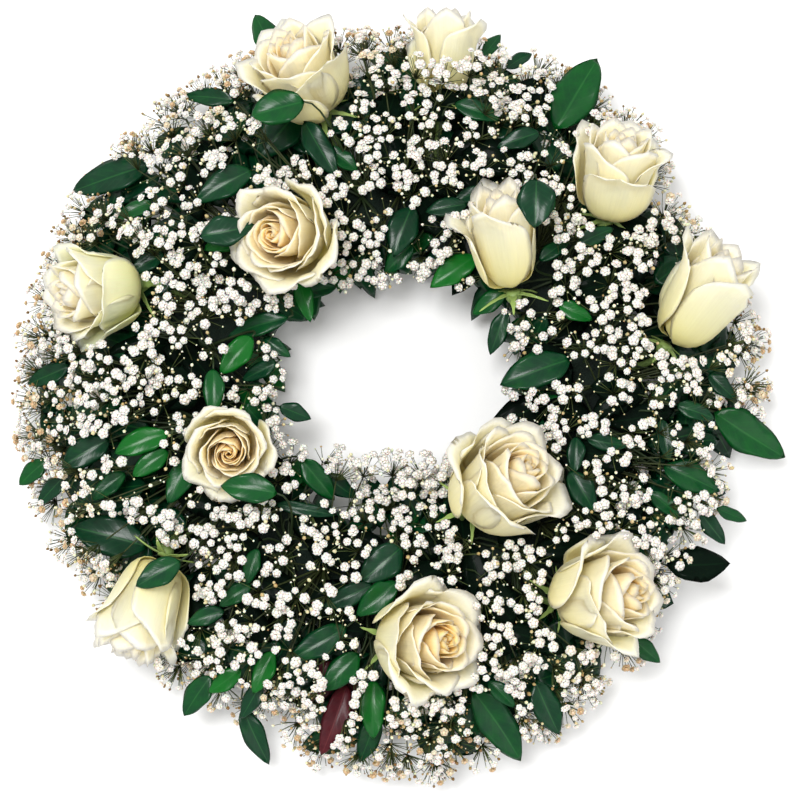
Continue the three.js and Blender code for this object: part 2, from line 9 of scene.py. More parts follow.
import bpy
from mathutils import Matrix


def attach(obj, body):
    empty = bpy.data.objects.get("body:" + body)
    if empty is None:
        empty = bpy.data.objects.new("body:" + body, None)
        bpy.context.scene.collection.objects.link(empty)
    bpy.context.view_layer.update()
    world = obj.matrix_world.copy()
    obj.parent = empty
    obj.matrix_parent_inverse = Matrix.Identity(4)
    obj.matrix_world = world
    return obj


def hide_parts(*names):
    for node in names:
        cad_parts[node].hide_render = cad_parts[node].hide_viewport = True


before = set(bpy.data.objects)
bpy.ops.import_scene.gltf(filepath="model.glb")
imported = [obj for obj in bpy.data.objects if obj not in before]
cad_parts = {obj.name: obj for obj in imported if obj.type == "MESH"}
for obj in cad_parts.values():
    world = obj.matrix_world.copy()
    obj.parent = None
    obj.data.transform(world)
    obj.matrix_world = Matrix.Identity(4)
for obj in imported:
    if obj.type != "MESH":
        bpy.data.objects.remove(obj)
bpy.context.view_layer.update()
print("solid pieces:", len(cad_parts))

# %% Tools of the lesson
import math

import bpy
import numpy as np
from mathutils import Vector

MM = 0.001
chance = np.random.default_rng(20)


def polar(radius, degrees, height=0.0):
    turn = math.radians(degrees)
    return np.array([radius * math.cos(turn), radius * math.sin(turn), height])


def unit(vector):
    vector = np.asarray(vector, float)
    return vector / (np.linalg.norm(vector, axis=-1, keepdims=True) + 1e-9)


# %% [markdown]
# ## Floor, light and camera
#
# The wreath lies on its base and is looked down on. A plain pale floor and large soft lamps give the even
# light of a product picture. The camera stands almost overhead, ten degrees towards the near side, far
# enough away that the flowers at the rim are seen nearly straight on.

# %% Floor and soft light
FLOOR_SIZE = 8.0


def flat_finish(name, colour, roughness):
    finish = bpy.data.materials.new(name)
    finish.use_nodes = True
    shader = finish.node_tree.nodes["Principled BSDF"]
    shader.inputs["Base Color"].default_value = colour
    shader.inputs["Roughness"].default_value = roughness
    return finish


bpy.ops.mesh.primitive_plane_add(size=FLOOR_SIZE)
floor = bpy.context.object
floor.name = "floor"
floor.data.materials.append(flat_finish("pale floor", (0.95, 0.95, 0.95, 1), 0.9))

world = bpy.data.worlds.new("studio air")
world.use_nodes = True
world.node_tree.nodes["Background"].inputs["Color"].default_value = (1.0, 0.995, 0.985, 1)
world.node_tree.nodes["Background"].inputs["Strength"].default_value = 0.9
bpy.context.scene.world = world
bpy.context.scene.view_settings.view_transform = "Standard"

LAMPS = [("key lamp", (-0.4, 0.1, 2.15), 0.7, 36), ("fill lamp", (1.0, -1.1, 1.7), 1.4, 6)]
for name, place, size, watts in LAMPS:
    lamp = bpy.data.lights.new(name, "AREA")
    lamp.size = size
    lamp.energy = watts
    holder = bpy.data.objects.new(name, lamp)
    holder.location = place
    holder.rotation_euler = (-Vector(place)).to_track_quat("-Z", "Y").to_euler()
    bpy.context.scene.collection.objects.link(holder)
print("lamps:", len(LAMPS))

# %% Camera
ELEVATION = math.radians(80)
AIM = Vector((0, -0.009, 0.050))
DISTANCE = 1.5
camera_data = bpy.data.cameras.new("camera")
camera_data.lens = 102.3
camera = bpy.data.objects.new("camera", camera_data)
camera.location = AIM + DISTANCE * Vector((0, -math.cos(ELEVATION), math.sin(ELEVATION)))
camera.rotation_euler = (AIM - camera.location).to_track_quat("-Z", "Y").to_euler()
bpy.context.scene.collection.objects.link(camera)
bpy.context.scene.camera = camera
print("camera at", [round(x, 3) for x in camera.location])

# %% [markdown]
# ## Finishes
#
# A finish here is a small recipe of nodes. Each fine piece carries a few numbers on its points, such as
# how far a point lies from the foot of its petal, and the recipe turns those into colour and relief.
# Numbers on the points were chosen over painted images, because they stay sharp at any size and follow
# each petal and each leaf.

# %% Helpers for node recipes


def tint(code):
    """A colour written as six hex digits, as the linear values that a shader wants."""
    parts = [int(code[i : i + 2], 16) / 255 for i in (1, 3, 5)]
    return (*[p / 12.92 if p <= 0.04045 else ((p + 0.055) / 1.055) ** 2.4 for p in parts], 1)


class Recipe:
    """The nodes of one finish. Every step returns its output, ready for the next step."""

    def __init__(self, name, roughness, **fixed):
        self.finish = bpy.data.materials.new(name)
        self.finish.use_nodes = True
        self.tree = self.finish.node_tree
        self.shader = self.tree.nodes["Principled BSDF"]
        self.shader.inputs["Roughness"].default_value = roughness
        for socket, value in fixed.items():
            self.shader.inputs[socket.replace("_", " ")].default_value = value

    def step(self, kind, inputs=None, output=0, **settings):
        node = self.tree.nodes.new(kind)
        for key, value in settings.items():
            setattr(node, key, value)
        for key, value in (inputs or {}).items():
            if isinstance(value, bpy.types.NodeSocket):
                self.tree.links.new(value, node.inputs[key])
            else:
                node.inputs[key].default_value = value
        return node.outputs[output]

    def into(self, socket, value):
        self.tree.links.new(value, self.shader.inputs[socket])

    def marks(self, name):
        """The three numbers of a point attribute."""
        vector = self.step("ShaderNodeAttribute", attribute_name=name, output=1)
        return [self.step("ShaderNodeSeparateXYZ", {0: vector}, output=k) for k in range(3)]

    def math(self, kind, *values):
        return self.step("ShaderNodeMath", dict(enumerate(values)), operation=kind)

    def spot(self):
        return self.step("ShaderNodeTexCoord", output=3)

    def joined(self, x, y, z):
        return self.step("ShaderNodeCombineXYZ", {0: x, 1: y, 2: z})

    def noise(self, scale, where=None, detail=3.0, roughness=0.6):
        inputs = {"Scale": scale, "Detail": detail, "Roughness": roughness, "Vector": where or self.spot()}
        return self.step("ShaderNodeTexNoise", inputs)

    def ramp(self, share, stops):
        node = self.tree.nodes.new("ShaderNodeValToRGB")
        self.tree.links.new(share, node.inputs[0])
        bar = node.color_ramp
        while len(bar.elements) < len(stops):
            bar.elements.new(0.5)
        for element, (place, colour) in zip(bar.elements, stops):
            element.position = place
            element.color = tint(colour) if isinstance(colour, str) else (colour, colour, colour, 1)
        return node.outputs[0]

    def mix(self, share, first, second, blend="MIX"):
        pair = [tint(c) if isinstance(c, str) else c for c in (first, second)]
        inputs = {0: share, 6: pair[0], 7: pair[1]}
        return self.step("ShaderNodeMix", inputs, output=2, data_type="RGBA", blend_type=blend)

    def bump(self, height, strength, distance):
        inputs = {"Height": height, "Strength": strength, "Distance": distance}
        self.into("Normal", self.step("ShaderNodeBump", inputs))


# %% Rose petal finish


def petal_finish():
    recipe = Recipe("rose petal", 0.5, Subsurface_Weight=0.5, Subsurface_Scale=0.007,
                    Specular_IOR_Level=0.25, Sheen_Weight=0.1, Sheen_Roughness=0.4)
    recipe.shader.inputs["Subsurface Radius"].default_value = (1.0, 0.85, 0.5)
    across, along, depth = recipe.marks("petal_place")
    draw, green, warmth = recipe.marks("petal_tone")
    stops = [(0.0, "#E9CF70"), (0.35, "#EFDD94"), (0.72, "#F0E4B2"), (0.93, "#F1E8C6"), (1.0, "#F2EBD4")]
    blade = recipe.ramp(along, stops)
    heart = recipe.ramp(depth, [(0.0, 1.0), (0.25, 0.7), (0.5, 0.2), (0.78, 0.0)])
    heart = recipe.math("MULTIPLY", heart, warmth)
    glow = recipe.ramp(along, [(0.0, "#E68F2A"), (0.5, "#F5B046"), (0.85, "#FAC665"), (1.0, "#FCDA90")])
    colour = recipe.mix(heart, blade, glow)
    leafy = recipe.ramp(along, [(0.0, "#A3B45E"), (0.45, "#CBD78F"), (1.0, "#E2E8BC")])
    place = recipe.joined(recipe.math("MULTIPLY", across, 26.0), recipe.math("MULTIPLY", along, 2.5), draw)
    streaks = recipe.noise(1.0, place)
    patch = recipe.math("MULTIPLY", green, recipe.ramp(streaks, [(0.25, 0.45), (0.7, 1.0)]))
    colour = recipe.mix(patch, colour, leafy)
    fine = recipe.ramp(streaks, [(0.3, 0.94), (0.7, 1.0)])
    colour = recipe.mix(1.0, colour, fine, "MULTIPLY")
    recipe.into("Base Color", colour)
    folds = recipe.noise(70.0, detail=2.0)
    recipe.bump(recipe.math("ADD", recipe.math("MULTIPLY", streaks, 0.35), folds), 0.45, 0.0012)
    return recipe.finish


PETAL = petal_finish()
print("finish:", PETAL.name)

# %% [markdown]
# Leaves are dark and glossy. A pale midrib runs down the middle and finer veins leave it at a slant. Both
# are drawn from two numbers on each point: how far across the blade it lies, and how far along. Relief at
# the same places makes the gloss break as it does on a real leaf.

# %% Leaf finishes


def leaf_finish(name, dark, middle, light, rib, roughness):
    gloss = max(0.05, 0.31 - roughness / 2)
    recipe = Recipe(name, roughness, Specular_IOR_Level=gloss, Coat_Weight=0.6 * gloss, Coat_Roughness=0.14)
    across, along, tone = recipe.marks("leaf_place")
    cloud = recipe.noise(95.0, detail=4.0)
    share = recipe.math("ADD", recipe.math("MULTIPLY", tone, 0.8), recipe.math("MULTIPLY", cloud, 0.45))
    blade = recipe.ramp(share, [(0.1, dark), (0.52, middle), (0.95, light)])
    side = recipe.math("ABSOLUTE", across)
    slant = recipe.math("SUBTRACT", recipe.math("MULTIPLY", along, 8.0), recipe.math("MULTIPLY", side, 2.4))
    wave = recipe.math("PINGPONG", slant, 0.5)
    vein = recipe.ramp(wave, [(0.0, 1.0), (0.09, 0.35), (0.2, 0.0)])
    midrib = recipe.ramp(side, [(0.0, 1.0), (0.03, 0.8), (0.07, 0.0)])
    lines = recipe.math("MAXIMUM", recipe.math("MULTIPLY", vein, 0.05), recipe.math("MULTIPLY", midrib, 0.35))
    recipe.into("Base Color", recipe.mix(lines, blade, rib))
    raised = recipe.math("MAXIMUM", vein, midrib)
    relief = recipe.math("ADD", recipe.math("MULTIPLY", raised, -0.25), recipe.math("MULTIPLY", cloud, 0.9))
    recipe.bump(relief, 0.35, 0.0004)
    return recipe.finish


LEAF = leaf_finish("glossy leaf", "#010F09", "#04331C", "#075B18", "#2E6E34", 0.28)
# near-black copy of the leaf finish for packed leaves under the cloud: painted shade of the depth, not a
# darker kind of leaf
DEPTH_SHADE_LEAF = leaf_finish("leaf darkened as painted depth shade", "#010503", "#031309", "#06220F", "#0C2A14", 0.75)
MAROON = leaf_finish("dark red leaf", "#120308", "#360D15", "#641A24", "#7A3A3A", 0.38)
print("finishes:", ", ".join(finish.name for finish in (LEAF, DEPTH_SHADE_LEAF, MAROON)))

# %% Floret, stem and base finishes


def floret_finish():
    recipe = Recipe("gypsophila floret", 0.6, Subsurface_Weight=0.2, Subsurface_Scale=0.0015,
                    Specular_IOR_Level=0.2)
    out, draw, kind = recipe.marks("floret_place")
    white = recipe.ramp(out, [(0.0, "#CFCDBB"), (0.3, "#E2DED2"), (0.7, "#ECE6DF"), (1.0, "#F3ECE6")])
    aged = recipe.ramp(draw, [(0.0, "#FFFFFF"), (0.74, "#FFFDFA"), (0.86, "#F3E8CF"), (0.97, "#D8BE98")])
    bud = recipe.ramp(draw, [(0.0, "#EFEDDC"), (0.45, "#DCDBB4"), (0.72, "#B7A06C"), (1.0, "#7A5E36")])
    flower = recipe.mix(1.0, white, aged, "MULTIPLY")
    recipe.into("Base Color", recipe.mix(kind, flower, bud))
    recipe.bump(recipe.noise(900.0), 0.3, 0.0002)
    return recipe.finish


def stem_finish(name, dark, light, roughness):
    recipe = Recipe(name, roughness, Specular_IOR_Level=0.35)
    height, draw, _ = recipe.marks("stem_place")
    cloud = recipe.noise(160.0)
    share = recipe.math("ADD", recipe.math("MULTIPLY", height, 0.75), recipe.math("MULTIPLY", cloud, 0.35))
    recipe.into("Base Color", recipe.ramp(share, [(0.1, dark), (0.9, light)]))
    recipe.bump(recipe.noise(700.0), 0.3, 0.0003)
    return recipe.finish


FLORET = floret_finish()
FINE_STEM = stem_finish("gypsophila stem", "#070B05", "#54622F", 0.6)
ROSE_STEM = stem_finish("rose stem and sepals", "#24401C", "#9DB765", 0.5)
TWIG = stem_finish("leafy twig", "#081006", "#2C3F1C", 0.55)


def moulded_finish():
    recipe = Recipe("moulded green plastic", 0.42, Specular_IOR_Level=0.5)
    cloud = recipe.noise(45.0)
    recipe.into("Base Color", recipe.ramp(cloud, [(0.3, "#16301F"), (0.7, "#1F4029")]))
    recipe.bump(recipe.noise(1400.0, detail=2.0), 0.2, 0.0001)
    return recipe.finish


def foam_finish():
    recipe = Recipe("wet floral foam", 0.85, Specular_IOR_Level=0.3)
    pores = recipe.step("ShaderNodeTexVoronoi", {"Scale": 900.0, "Vector": recipe.spot()})
    cloud = recipe.noise(60.0)
    # the foam's green is made near black here, as painted shade of the depth under the flowers; the pits of
    # its pores are its own texture
    base = recipe.ramp(cloud, [(0.3, "#081410"), (0.7, "#102318")])
    pits = recipe.ramp(pores, [(0.0, 0.55), (0.6, 1.0)])
    recipe.into("Base Color", recipe.mix(1.0, base, pits, "MULTIPLY"))
    recipe.bump(pores, 0.6, 0.0006)
    return recipe.finish


TRAY_PLASTIC = moulded_finish()
FOAM = foam_finish()
print("finishes in all:", len(bpy.data.materials))

# %% [markdown]
# ## A basket for meshes
#
# Thousands of small shapes are joined into one object for each piece of the wreath. The basket below
# collects points, faces and the numbers on the points, and pours them into one Blender mesh at the end.
# Numpy arrays are used because they place a thousand florets in one step.

# %% The basket


class Basket:
    """Points, faces, finishes and point numbers of one piece, all in millimetres."""

    def __init__(self, name):
        self.name = name
        self.points, self.faces, self.finish, self.marks = [], [], [], {}
        self.count = 0

    def put(self, points, faces, finish, mark, numbers):
        """Adds one shape. mark names the point attribute, numbers has three values for each point."""
        points = np.asarray(points, float).reshape(-1, 3)
        self.points.append(points)
        if isinstance(faces, np.ndarray):
            self.faces += (faces + self.count).tolist()
        else:
            self.faces += [[corner + self.count for corner in face] for face in faces]
        self.finish.append((finish, len(faces)))
        self.marks.setdefault(mark, []).append((self.count, np.asarray(numbers, float).reshape(-1, 3)))
        self.count += len(points)

    def pour(self, slot, replaced=None):
        mesh = bpy.data.meshes.new(self.name)
        mesh.from_pydata((np.concatenate(self.points) * MM).tolist(), [], self.faces)
        finishes = list(dict.fromkeys(finish for finish, _ in self.finish))
        for finish in finishes:
            mesh.materials.append(finish)
        which = np.concatenate([np.full(n, finishes.index(f), np.int32) for f, n in self.finish])
        mesh.polygons.foreach_set("material_index", which)
        mesh.polygons.foreach_set("use_smooth", np.ones(len(self.faces), bool))
        for mark, groups in self.marks.items():
            values = np.zeros((self.count, 3), np.float32)
            for start, numbers in groups:
                values[start : start + len(numbers)] = numbers
            attribute = mesh.attributes.new(mark, "FLOAT_VECTOR", "POINT")
            attribute.data.foreach_set("vector", values.ravel())
        mesh.update()
        piece = bpy.data.objects.new(self.name, mesh)
        bpy.context.scene.collection.objects.link(piece)
        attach(piece, "root")
        if replaced:
            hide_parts(replaced)
        return piece


def thin_shell(sheet, thickness):
    """A grid of points as a closed shell: two faces that meet at the rim."""
    rows, columns = sheet.shape[:2]
    down, right = np.gradient(sheet, axis=0), np.gradient(sheet, axis=1)
    normal = unit(np.cross(right, down))
    inside = np.zeros((rows, columns), bool)
    inside[1:-1, 1:-1] = True
    front = np.arange(rows * columns).reshape(rows, columns)
    back = front.copy()
    back[inside] = rows * columns + np.arange(inside.sum())
    half = normal * (thickness / 2)
    top = sheet + half * inside[..., None]
    points = np.concatenate([top.reshape(-1, 3), (sheet - half)[inside]])
    faces = []
    for grid, order in ((front, (0, 1, 2, 3)), (back, (3, 2, 1, 0))):
        corners = [grid[:-1, :-1], grid[1:, :-1], grid[1:, 1:], grid[:-1, 1:]]
        faces.append(np.stack([corners[k].ravel() for k in order], axis=1))
    keep = np.concatenate([np.arange(rows * columns), np.flatnonzero(inside.ravel())])
    return points, np.concatenate(faces), keep


def tube(path, radii, sides=3):
    """A stem along a path, closed at both ends, with a radius for each point of the path."""
    path = np.asarray(path, float)
    heading = unit(np.gradient(path, axis=0))
    aside = unit(np.cross(heading, [0.31, 0.2, 0.93]))
    lift = np.cross(heading, aside)
    turn = 2 * np.pi * np.arange(sides) / sides
    spokes = np.cos(turn)[None, :, None] * aside[:, None] + np.sin(turn)[None, :, None] * lift[:, None]
    points = path[:, None] + spokes * np.broadcast_to(radii, len(path))[:, None, None]
    ring = np.arange(len(path) * sides).reshape(-1, sides)
    turned = np.roll(ring, -1, axis=1)
    walls = np.stack([ring[:-1], turned[:-1], turned[1:], ring[1:]], axis=2).reshape(-1, 4)
    faces = walls.tolist() + [ring[0][::-1].tolist(), ring[-1].tolist()]
    return points.reshape(-1, 3), faces


def alike(points, *numbers):
    """The same three numbers for every point."""
    return np.repeat([numbers], len(points), axis=0)


print("the basket is ready")

# %% [markdown]
# ## The base: plastic tray and wet foam
#
# Under the flowers lies a moulded plastic ring with a flat underside, and in it a ring of wet floral
# foam. Both are shapes of a lathe, so a profile is turned round the ring's axis. The tray's rim is rolled
# outwards a little, as a moulder makes it stiff. The foam stays the solid model's own piece, because that
# one has the holes for the stems.

# %% Tray
RING_RADIUS = 130
RING_STEPS = 144


def turned_ring(name, profile, finish, slot, replaced):
    outline = np.array(profile, float)
    turn = 2 * np.pi * np.arange(RING_STEPS) / RING_STEPS
    reach = RING_RADIUS + outline[None, :, 0]
    points = np.stack([
        reach * np.cos(turn)[:, None],
        reach * np.sin(turn)[:, None],
        np.broadcast_to(outline[:, 1], (RING_STEPS, len(outline))),
    ], axis=2)
    ring = np.arange(RING_STEPS * len(outline)).reshape(RING_STEPS, -1)
    after, beside = np.roll(ring, -1, axis=0), np.roll(ring, -1, axis=1)
    basket = Basket(name)
    faces = np.stack([ring, after, np.roll(after, -1, axis=1), beside], axis=2).reshape(-1, 4)
    basket.put(points, faces, finish, "stem_place", np.zeros((points.size // 3, 3)))
    return basket.pour(slot, replaced)


TRAY_OUTLINE = [
    (-33.0, 1.2), (-32.6, 0.35), (-31.8, 0.0), (31.8, 0.0), (32.6, 0.35), (33.0, 1.2), (33.0, 15.6),
    (34.2, 16.4), (34.4, 17.4), (33.6, 18.0), (31.4, 18.0), (30.6, 17.4), (30.6, 3.2), (30.0, 2.4),
    (-30.0, 2.4), (-30.6, 3.2), (-30.6, 17.4), (-31.4, 18.0), (-33.6, 18.0), (-34.4, 17.4), (-34.2, 16.4),
    (-33.0, 15.6),
]
tray = turned_ring("tray", TRAY_OUTLINE, TRAY_PLASTIC, "tray_plastic", "base_tray")
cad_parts["floral_foam"].data.materials.clear()
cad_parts["floral_foam"].data.materials.append(FOAM)
print("tray faces:", len(tray.data.polygons))

# %% [markdown]
# ## Roses
#
# A rose keeps its petals in a spiral, each turned 137.5 degrees from the one before, with the tight ones
# in the middle and the wide ones outside. The blooms could be sculpted, but a rule gives every petal its
# place: the rule below blends between six profiles, from the closed heart to the outermost petal, and
# rolls the rim of the outer ones back. A row for each rose gives its place, size, lean and how far it has
# opened.

# %% The twelve roses
# name, centre, diameter and height, lean and its direction, radius and angle of the hole in the foam,
# petals, openness, warmth, green, turn of the first petal
ROSES = [
    ("upper_left", (-66, 205, 86), (72, 62), 42, 125, (147, 104), 26, 0.98, 0.6, 0.25, 40),
    ("inner_upper_left", (-74, 88, 110), (72, 56), 28, 205, (116, 118), 28, 1.0, 0.9, 0.1, 200),
    ("top", (29, 223, 72), (54, 54), 70, 87, (147, 81), 20, 0.89, 0.3, 0.4, 10),
    ("upper_right", (141, 135, 90), (64, 60), 48, 79, (147, 35), 24, 0.96, 0.35, 0.2, 120),
    ("inner_upper_right", (68, 88, 98), (58, 64), 56, 101, (114, 40), 20, 0.88, 0.4, 0.25, 80),
    ("right", (195, 54, 84), (62, 70), 60, 55, (147, 6), 20, 0.88, 0.3, 0.7, 330),
    ("left", (-200, 57, 82), (66, 58), 58, 198, (147, 157), 26, 0.98, 0.3, 1.0, 60),
    ("inner_left", (-108, -50, 104), (59, 44), 22, 270, (116, 197), 28, 1.0, 0.95, 0.15, 150),
    ("inner_lower_right", (67, -71, 108), (76, 66), 42, 32, (114, 296), 28, 1.0, 0.7, 0.1, 50),
    ("bottom", (16, -170, 100), (72, 62), 38, 352, (147, 273), 28, 1.0, 1.2, 0.15, 260),
    ("lower_right", (131, -141, 90), (74, 66), 49, 3, (147, 303), 28, 1.0, 0.9, 0.15, 300),
    ("lower_left", (-164, -150, 74), (60, 66), 84, 251, (147, 218), 26, 0.97, 0.3, 0.4, 100),
]
BLOOM_CENTRE_SHARE = 0.56
FOOT_HEIGHT = 26
BEND_DEPTH = 22
BLOOM_BODY = (1.02, 1.02, 0.62)


class Bloom:
    """The frame of one rose: its base, axis and the matrix that leans its own upright axis over."""

    def __init__(self, row):
        self.name, centre, (self.diameter, self.height), lean, toward, socket, *rest = row
        self.petals, self.openness, self.warmth, self.green, self.turn = rest
        self.axis = polar(math.sin(math.radians(lean)), toward, math.cos(math.radians(lean)))
        self.centre = np.array(centre, float)
        self.base = self.centre - self.axis * BLOOM_CENTRE_SHARE * self.height
        self.foot = polar(*socket, FOOT_HEIGHT)
        self.bend = self.base - BEND_DEPTH * self.axis
        self.lean = np.array(Vector((0, 0, 1)).rotation_difference(Vector(self.axis)).to_matrix())

    def place(self, points):
        return np.asarray(points, float) @ self.lean.T + self.base

    def seen_from_middle(self, points):
        """Points measured from the middle of the bloom's rounded body, along its own axes."""
        return (points - self.base) @ self.lean - [0, 0, 0.5 * self.height]

    def half_sizes(self, grown):
        """Half the sizes of that body, grown by a factor."""
        return np.array(BLOOM_BODY) * [self.diameter / 2, self.diameter / 2, self.height] * grown


blooms = [Bloom(row) for row in ROSES]
widths = [bloom.diameter for bloom in blooms]
print("roses:", len(blooms), "of", min(widths), "to", max(widths), "mm")

# %% Petal profiles
# share of the way out, then four control points of the petal's middle line as shares of radius and height
PETAL_KEYS = [
    (0.00, [(0.02, 0.25), (0.07, 0.40), (0.11, 0.70), (0.03, 0.94)]),
    (0.20, [(0.04, 0.20), (0.20, 0.30), (0.24, 0.70), (0.15, 0.98)]),
    (0.40, [(0.06, 0.15), (0.42, 0.22), (0.41, 0.70), (0.34, 1.00)]),
    (0.60, [(0.07, 0.10), (0.66, 0.12), (0.52, 0.66), (0.60, 0.97)]),
    (0.80, [(0.07, 0.06), (0.84, 0.06), (0.60, 0.60), (0.84, 0.90)]),
    (1.00, [(0.07, 0.03), (0.95, 0.00), (0.68, 0.50), (1.00, 0.74)]),
]
PETAL_SPREADS = [(0.0, 150), (0.2, 115), (0.4, 92), (0.6, 78), (0.8, 68), (1.0, 60)]
PETAL_SPIRALS = [(0.0, 0.75), (0.2, 0.42), (0.4, 0.26), (0.6, 0.16), (1.0, 0.10)]
GOLDEN_ANGLE = 137.5


def between_keys(keys, share):
    places = [key[0] for key in keys]
    values = np.array([key[1] for key in keys], float)
    flat = values.reshape(len(keys), -1)
    found = [np.interp(share, places, flat[:, k]) for k in range(flat.shape[1])]
    return np.reshape(found, values.shape[1:])


def curve_at(controls, t):
    a, b, c, d = controls
    u = 1 - t[..., None]
    t = t[..., None]
    return u**3 * a + 3 * u * u * t * b + 3 * u * t * t * c + t**3 * d


# %% One petal
PETAL_GRID = (13, 15)
HEART_PETAL_GRID = (9, 13)
HEART_SHARE = 0.42
PETAL_THICKNESS = 0.7
FULLY_OPEN = (0.96, 1.0)
ROLL_STEP = 0.01
ROLL_LENGTH = 0.24


def petal_sheet(bloom, share, middle, draws):
    """The surface of a petal as a grid of points in the bloom's own frame, with its place numbers."""
    radius, height = bloom.diameter / 2, bloom.height
    rows, columns = PETAL_GRID if share > HEART_SHARE else HEART_PETAL_GRID
    s, t = np.meshgrid(np.linspace(-1, 1, columns), np.linspace(0, 1, rows))
    controls = between_keys(PETAL_KEYS, share)
    closed = 1 - bloom.openness
    controls[2:, 1] += 0.4 * closed * np.interp(share, [0.0, 0.5, 0.8, 1.0], [0.0, 1.0, 1.0, -0.5])
    full = np.interp(bloom.openness, FULLY_OPEN, (0, 1))
    controls[2:, 1] -= 0.09 * full * np.interp(share, [0.2, 0.6, 1.0], [0.0, 1.0, 0.8])
    spread = between_keys(PETAL_SPREADS, share)
    spiral = between_keys(PETAL_SPIRALS, share)
    point = (0.06 + 0.08 * draws[0] + 0.25 * closed) * np.clip(1 - 1.3 * np.abs(s), 0, 1) ** 1.5 * t**4
    lowered = t * (1 - 0.2 * s * s * t * t) + point * share
    opened = (1 - 0.2 * t**3) * np.sin(np.pi / 2 * np.minimum(1, 0.1 + 1.55 * t))
    across = s * opened

    roll_start = 0.82 - 0.08 * draws[1] * share
    roll_most = math.radians(60 + 90 * draws[3]) * np.clip(1.5 * share - 0.45, 0, 1)
    roll_most = roll_most * (0.4 + 0.6 * np.abs(s) ** 1.3)
    scale = np.array([radius, height])
    plain = curve_at(controls, np.minimum(lowered, roll_start)) * scale
    here, further = (curve_at(controls, np.full(1, at))[0] for at in (roll_start, roll_start + ROLL_STEP))
    ahead = (further - here) * scale / ROLL_STEP
    length = np.linalg.norm(ahead)
    ahead = ahead / length
    outward = np.array([ahead[1], -ahead[0]])
    beyond = np.clip(lowered - roll_start, 0, 1) * length
    bend = np.maximum(roll_most * np.clip(beyond / (ROLL_LENGTH * length), 0, 1.2), 1e-4)
    curl = np.maximum(beyond, 1e-6) / bend
    rolled = plain + (np.sin(bend) * curl)[..., None] * ahead
    rolled = rolled + ((1 - np.cos(bend)) * curl)[..., None] * outward

    side_roll = share * 0.13 * np.clip((np.abs(s) - 0.62) / 0.38, 0, 1) ** 2 * t * radius
    waves = 0.035 * np.sin(7.5 * s + 6 * draws[2]) + 0.02 * np.sin(15 * s + 6 * draws[3])
    ruffle = share * radius * t**3 * waves
    dimple = -0.03 * radius * share * np.sin(np.pi * t) * np.cos(np.pi * s * 1.5) * draws[4]
    reach = rolled[..., 0] * (1 + spiral * across) + side_roll + ruffle + dimple
    lift = rolled[..., 1] + height * 0.02 * share * np.sin(5 * s + 6 * draws[5]) * t**2
    angle = np.radians(middle + across * spread)
    points = np.stack([reach * np.cos(angle), reach * np.sin(angle), lift], axis=2)
    return points, np.stack([across, t, np.full_like(t, share)], axis=2)


def make_bloom(bloom):
    basket = Basket(f"rose_{bloom.name}")
    for k in range(bloom.petals):
        draws = chance.random(8)
        share = k / (bloom.petals - 1)
        share = min(1.0, share * (0.8 + 0.2 * share) * bloom.openness * (1 + 0.07 * (draws[5] - 0.5)))
        middle = bloom.turn + k * GOLDEN_ANGLE + 16 * (draws[6] - 0.5)
        sheet, place = petal_sheet(bloom, share, middle, draws)
        points, faces, keep = thin_shell(sheet, PETAL_THICKNESS)
        numbers = place.reshape(-1, 3)[keep]
        basket.put(bloom.place(points), faces, PETAL, "petal_place", numbers)
        green = bloom.green * max(0.0, (share - 0.55) / 0.45) ** 1.5 * (0.4 + draws[7])
        tone = np.tile([draws[0] * 9, green, bloom.warmth], (len(points), 1))
        basket.marks.setdefault("petal_tone", []).append((basket.count - len(points), tone))
    return basket.pour("rose_petal", f"rose_{bloom.name}_bloom")


rose_pieces = [make_bloom(bloom) for bloom in blooms]
print("petals:", sum(b.petals for b in blooms), "faces:", sum(len(p.data.polygons) for p in rose_pieces))

# %% [markdown]
# Under each bloom sits a small green cup, the calyx, with five pointed sepals, and below it the stem runs
# down into its hole in the foam. The stem is a tube along a smooth line, and each sepal is a narrow leaf
# that curls back.

# %% Stems and sepals
SEPAL_REACH = 24.0
SEPAL_WIDTH = 6.0
SEPAL_DROP = 8.0
SEPALS = 5
NECK_DEPTH = 7
# height below the petals and radius
CUP = [(-9, 2.3), (-7.5, 4.2), (-5, 5.4), (-2.5, 5.0), (-0.4, 4.2)]


def smooth_path(*corners, steps=12):
    """A line through a start, one or two guiding points and an end."""
    t = np.linspace(0, 1, steps)[:, None]
    points = [np.asarray(c, float) for c in corners]
    if len(points) == 3:
        a, b, c = points
        return (1 - t) ** 2 * a + 2 * t * (1 - t) * b + t * t * c
    return curve_at(np.array(points), t[:, 0])


def sepal_sheet(across, outward, draws):
    s, t = np.meshgrid(np.linspace(-1, 1, 7), np.linspace(0, 1, 9))
    width = SEPAL_WIDTH / 2 * np.maximum(0.06, (1 - t) ** 0.8 * (1 + 0.25 * np.sin(18 * t + 6 * draws[0])))
    reach = 3 + (SEPAL_REACH - 3) * t * (0.85 + 0.25 * draws[1])
    drop = -2.5 - SEPAL_DROP * t**1.6 * (0.4 + draws[2]) + 0.8 * s * s
    points = reach[..., None] * outward + (s * width)[..., None] * across
    points[..., 2] += drop
    return points, np.stack([0.55 + 0.4 * t, np.full_like(t, draws[0]), t], axis=2)


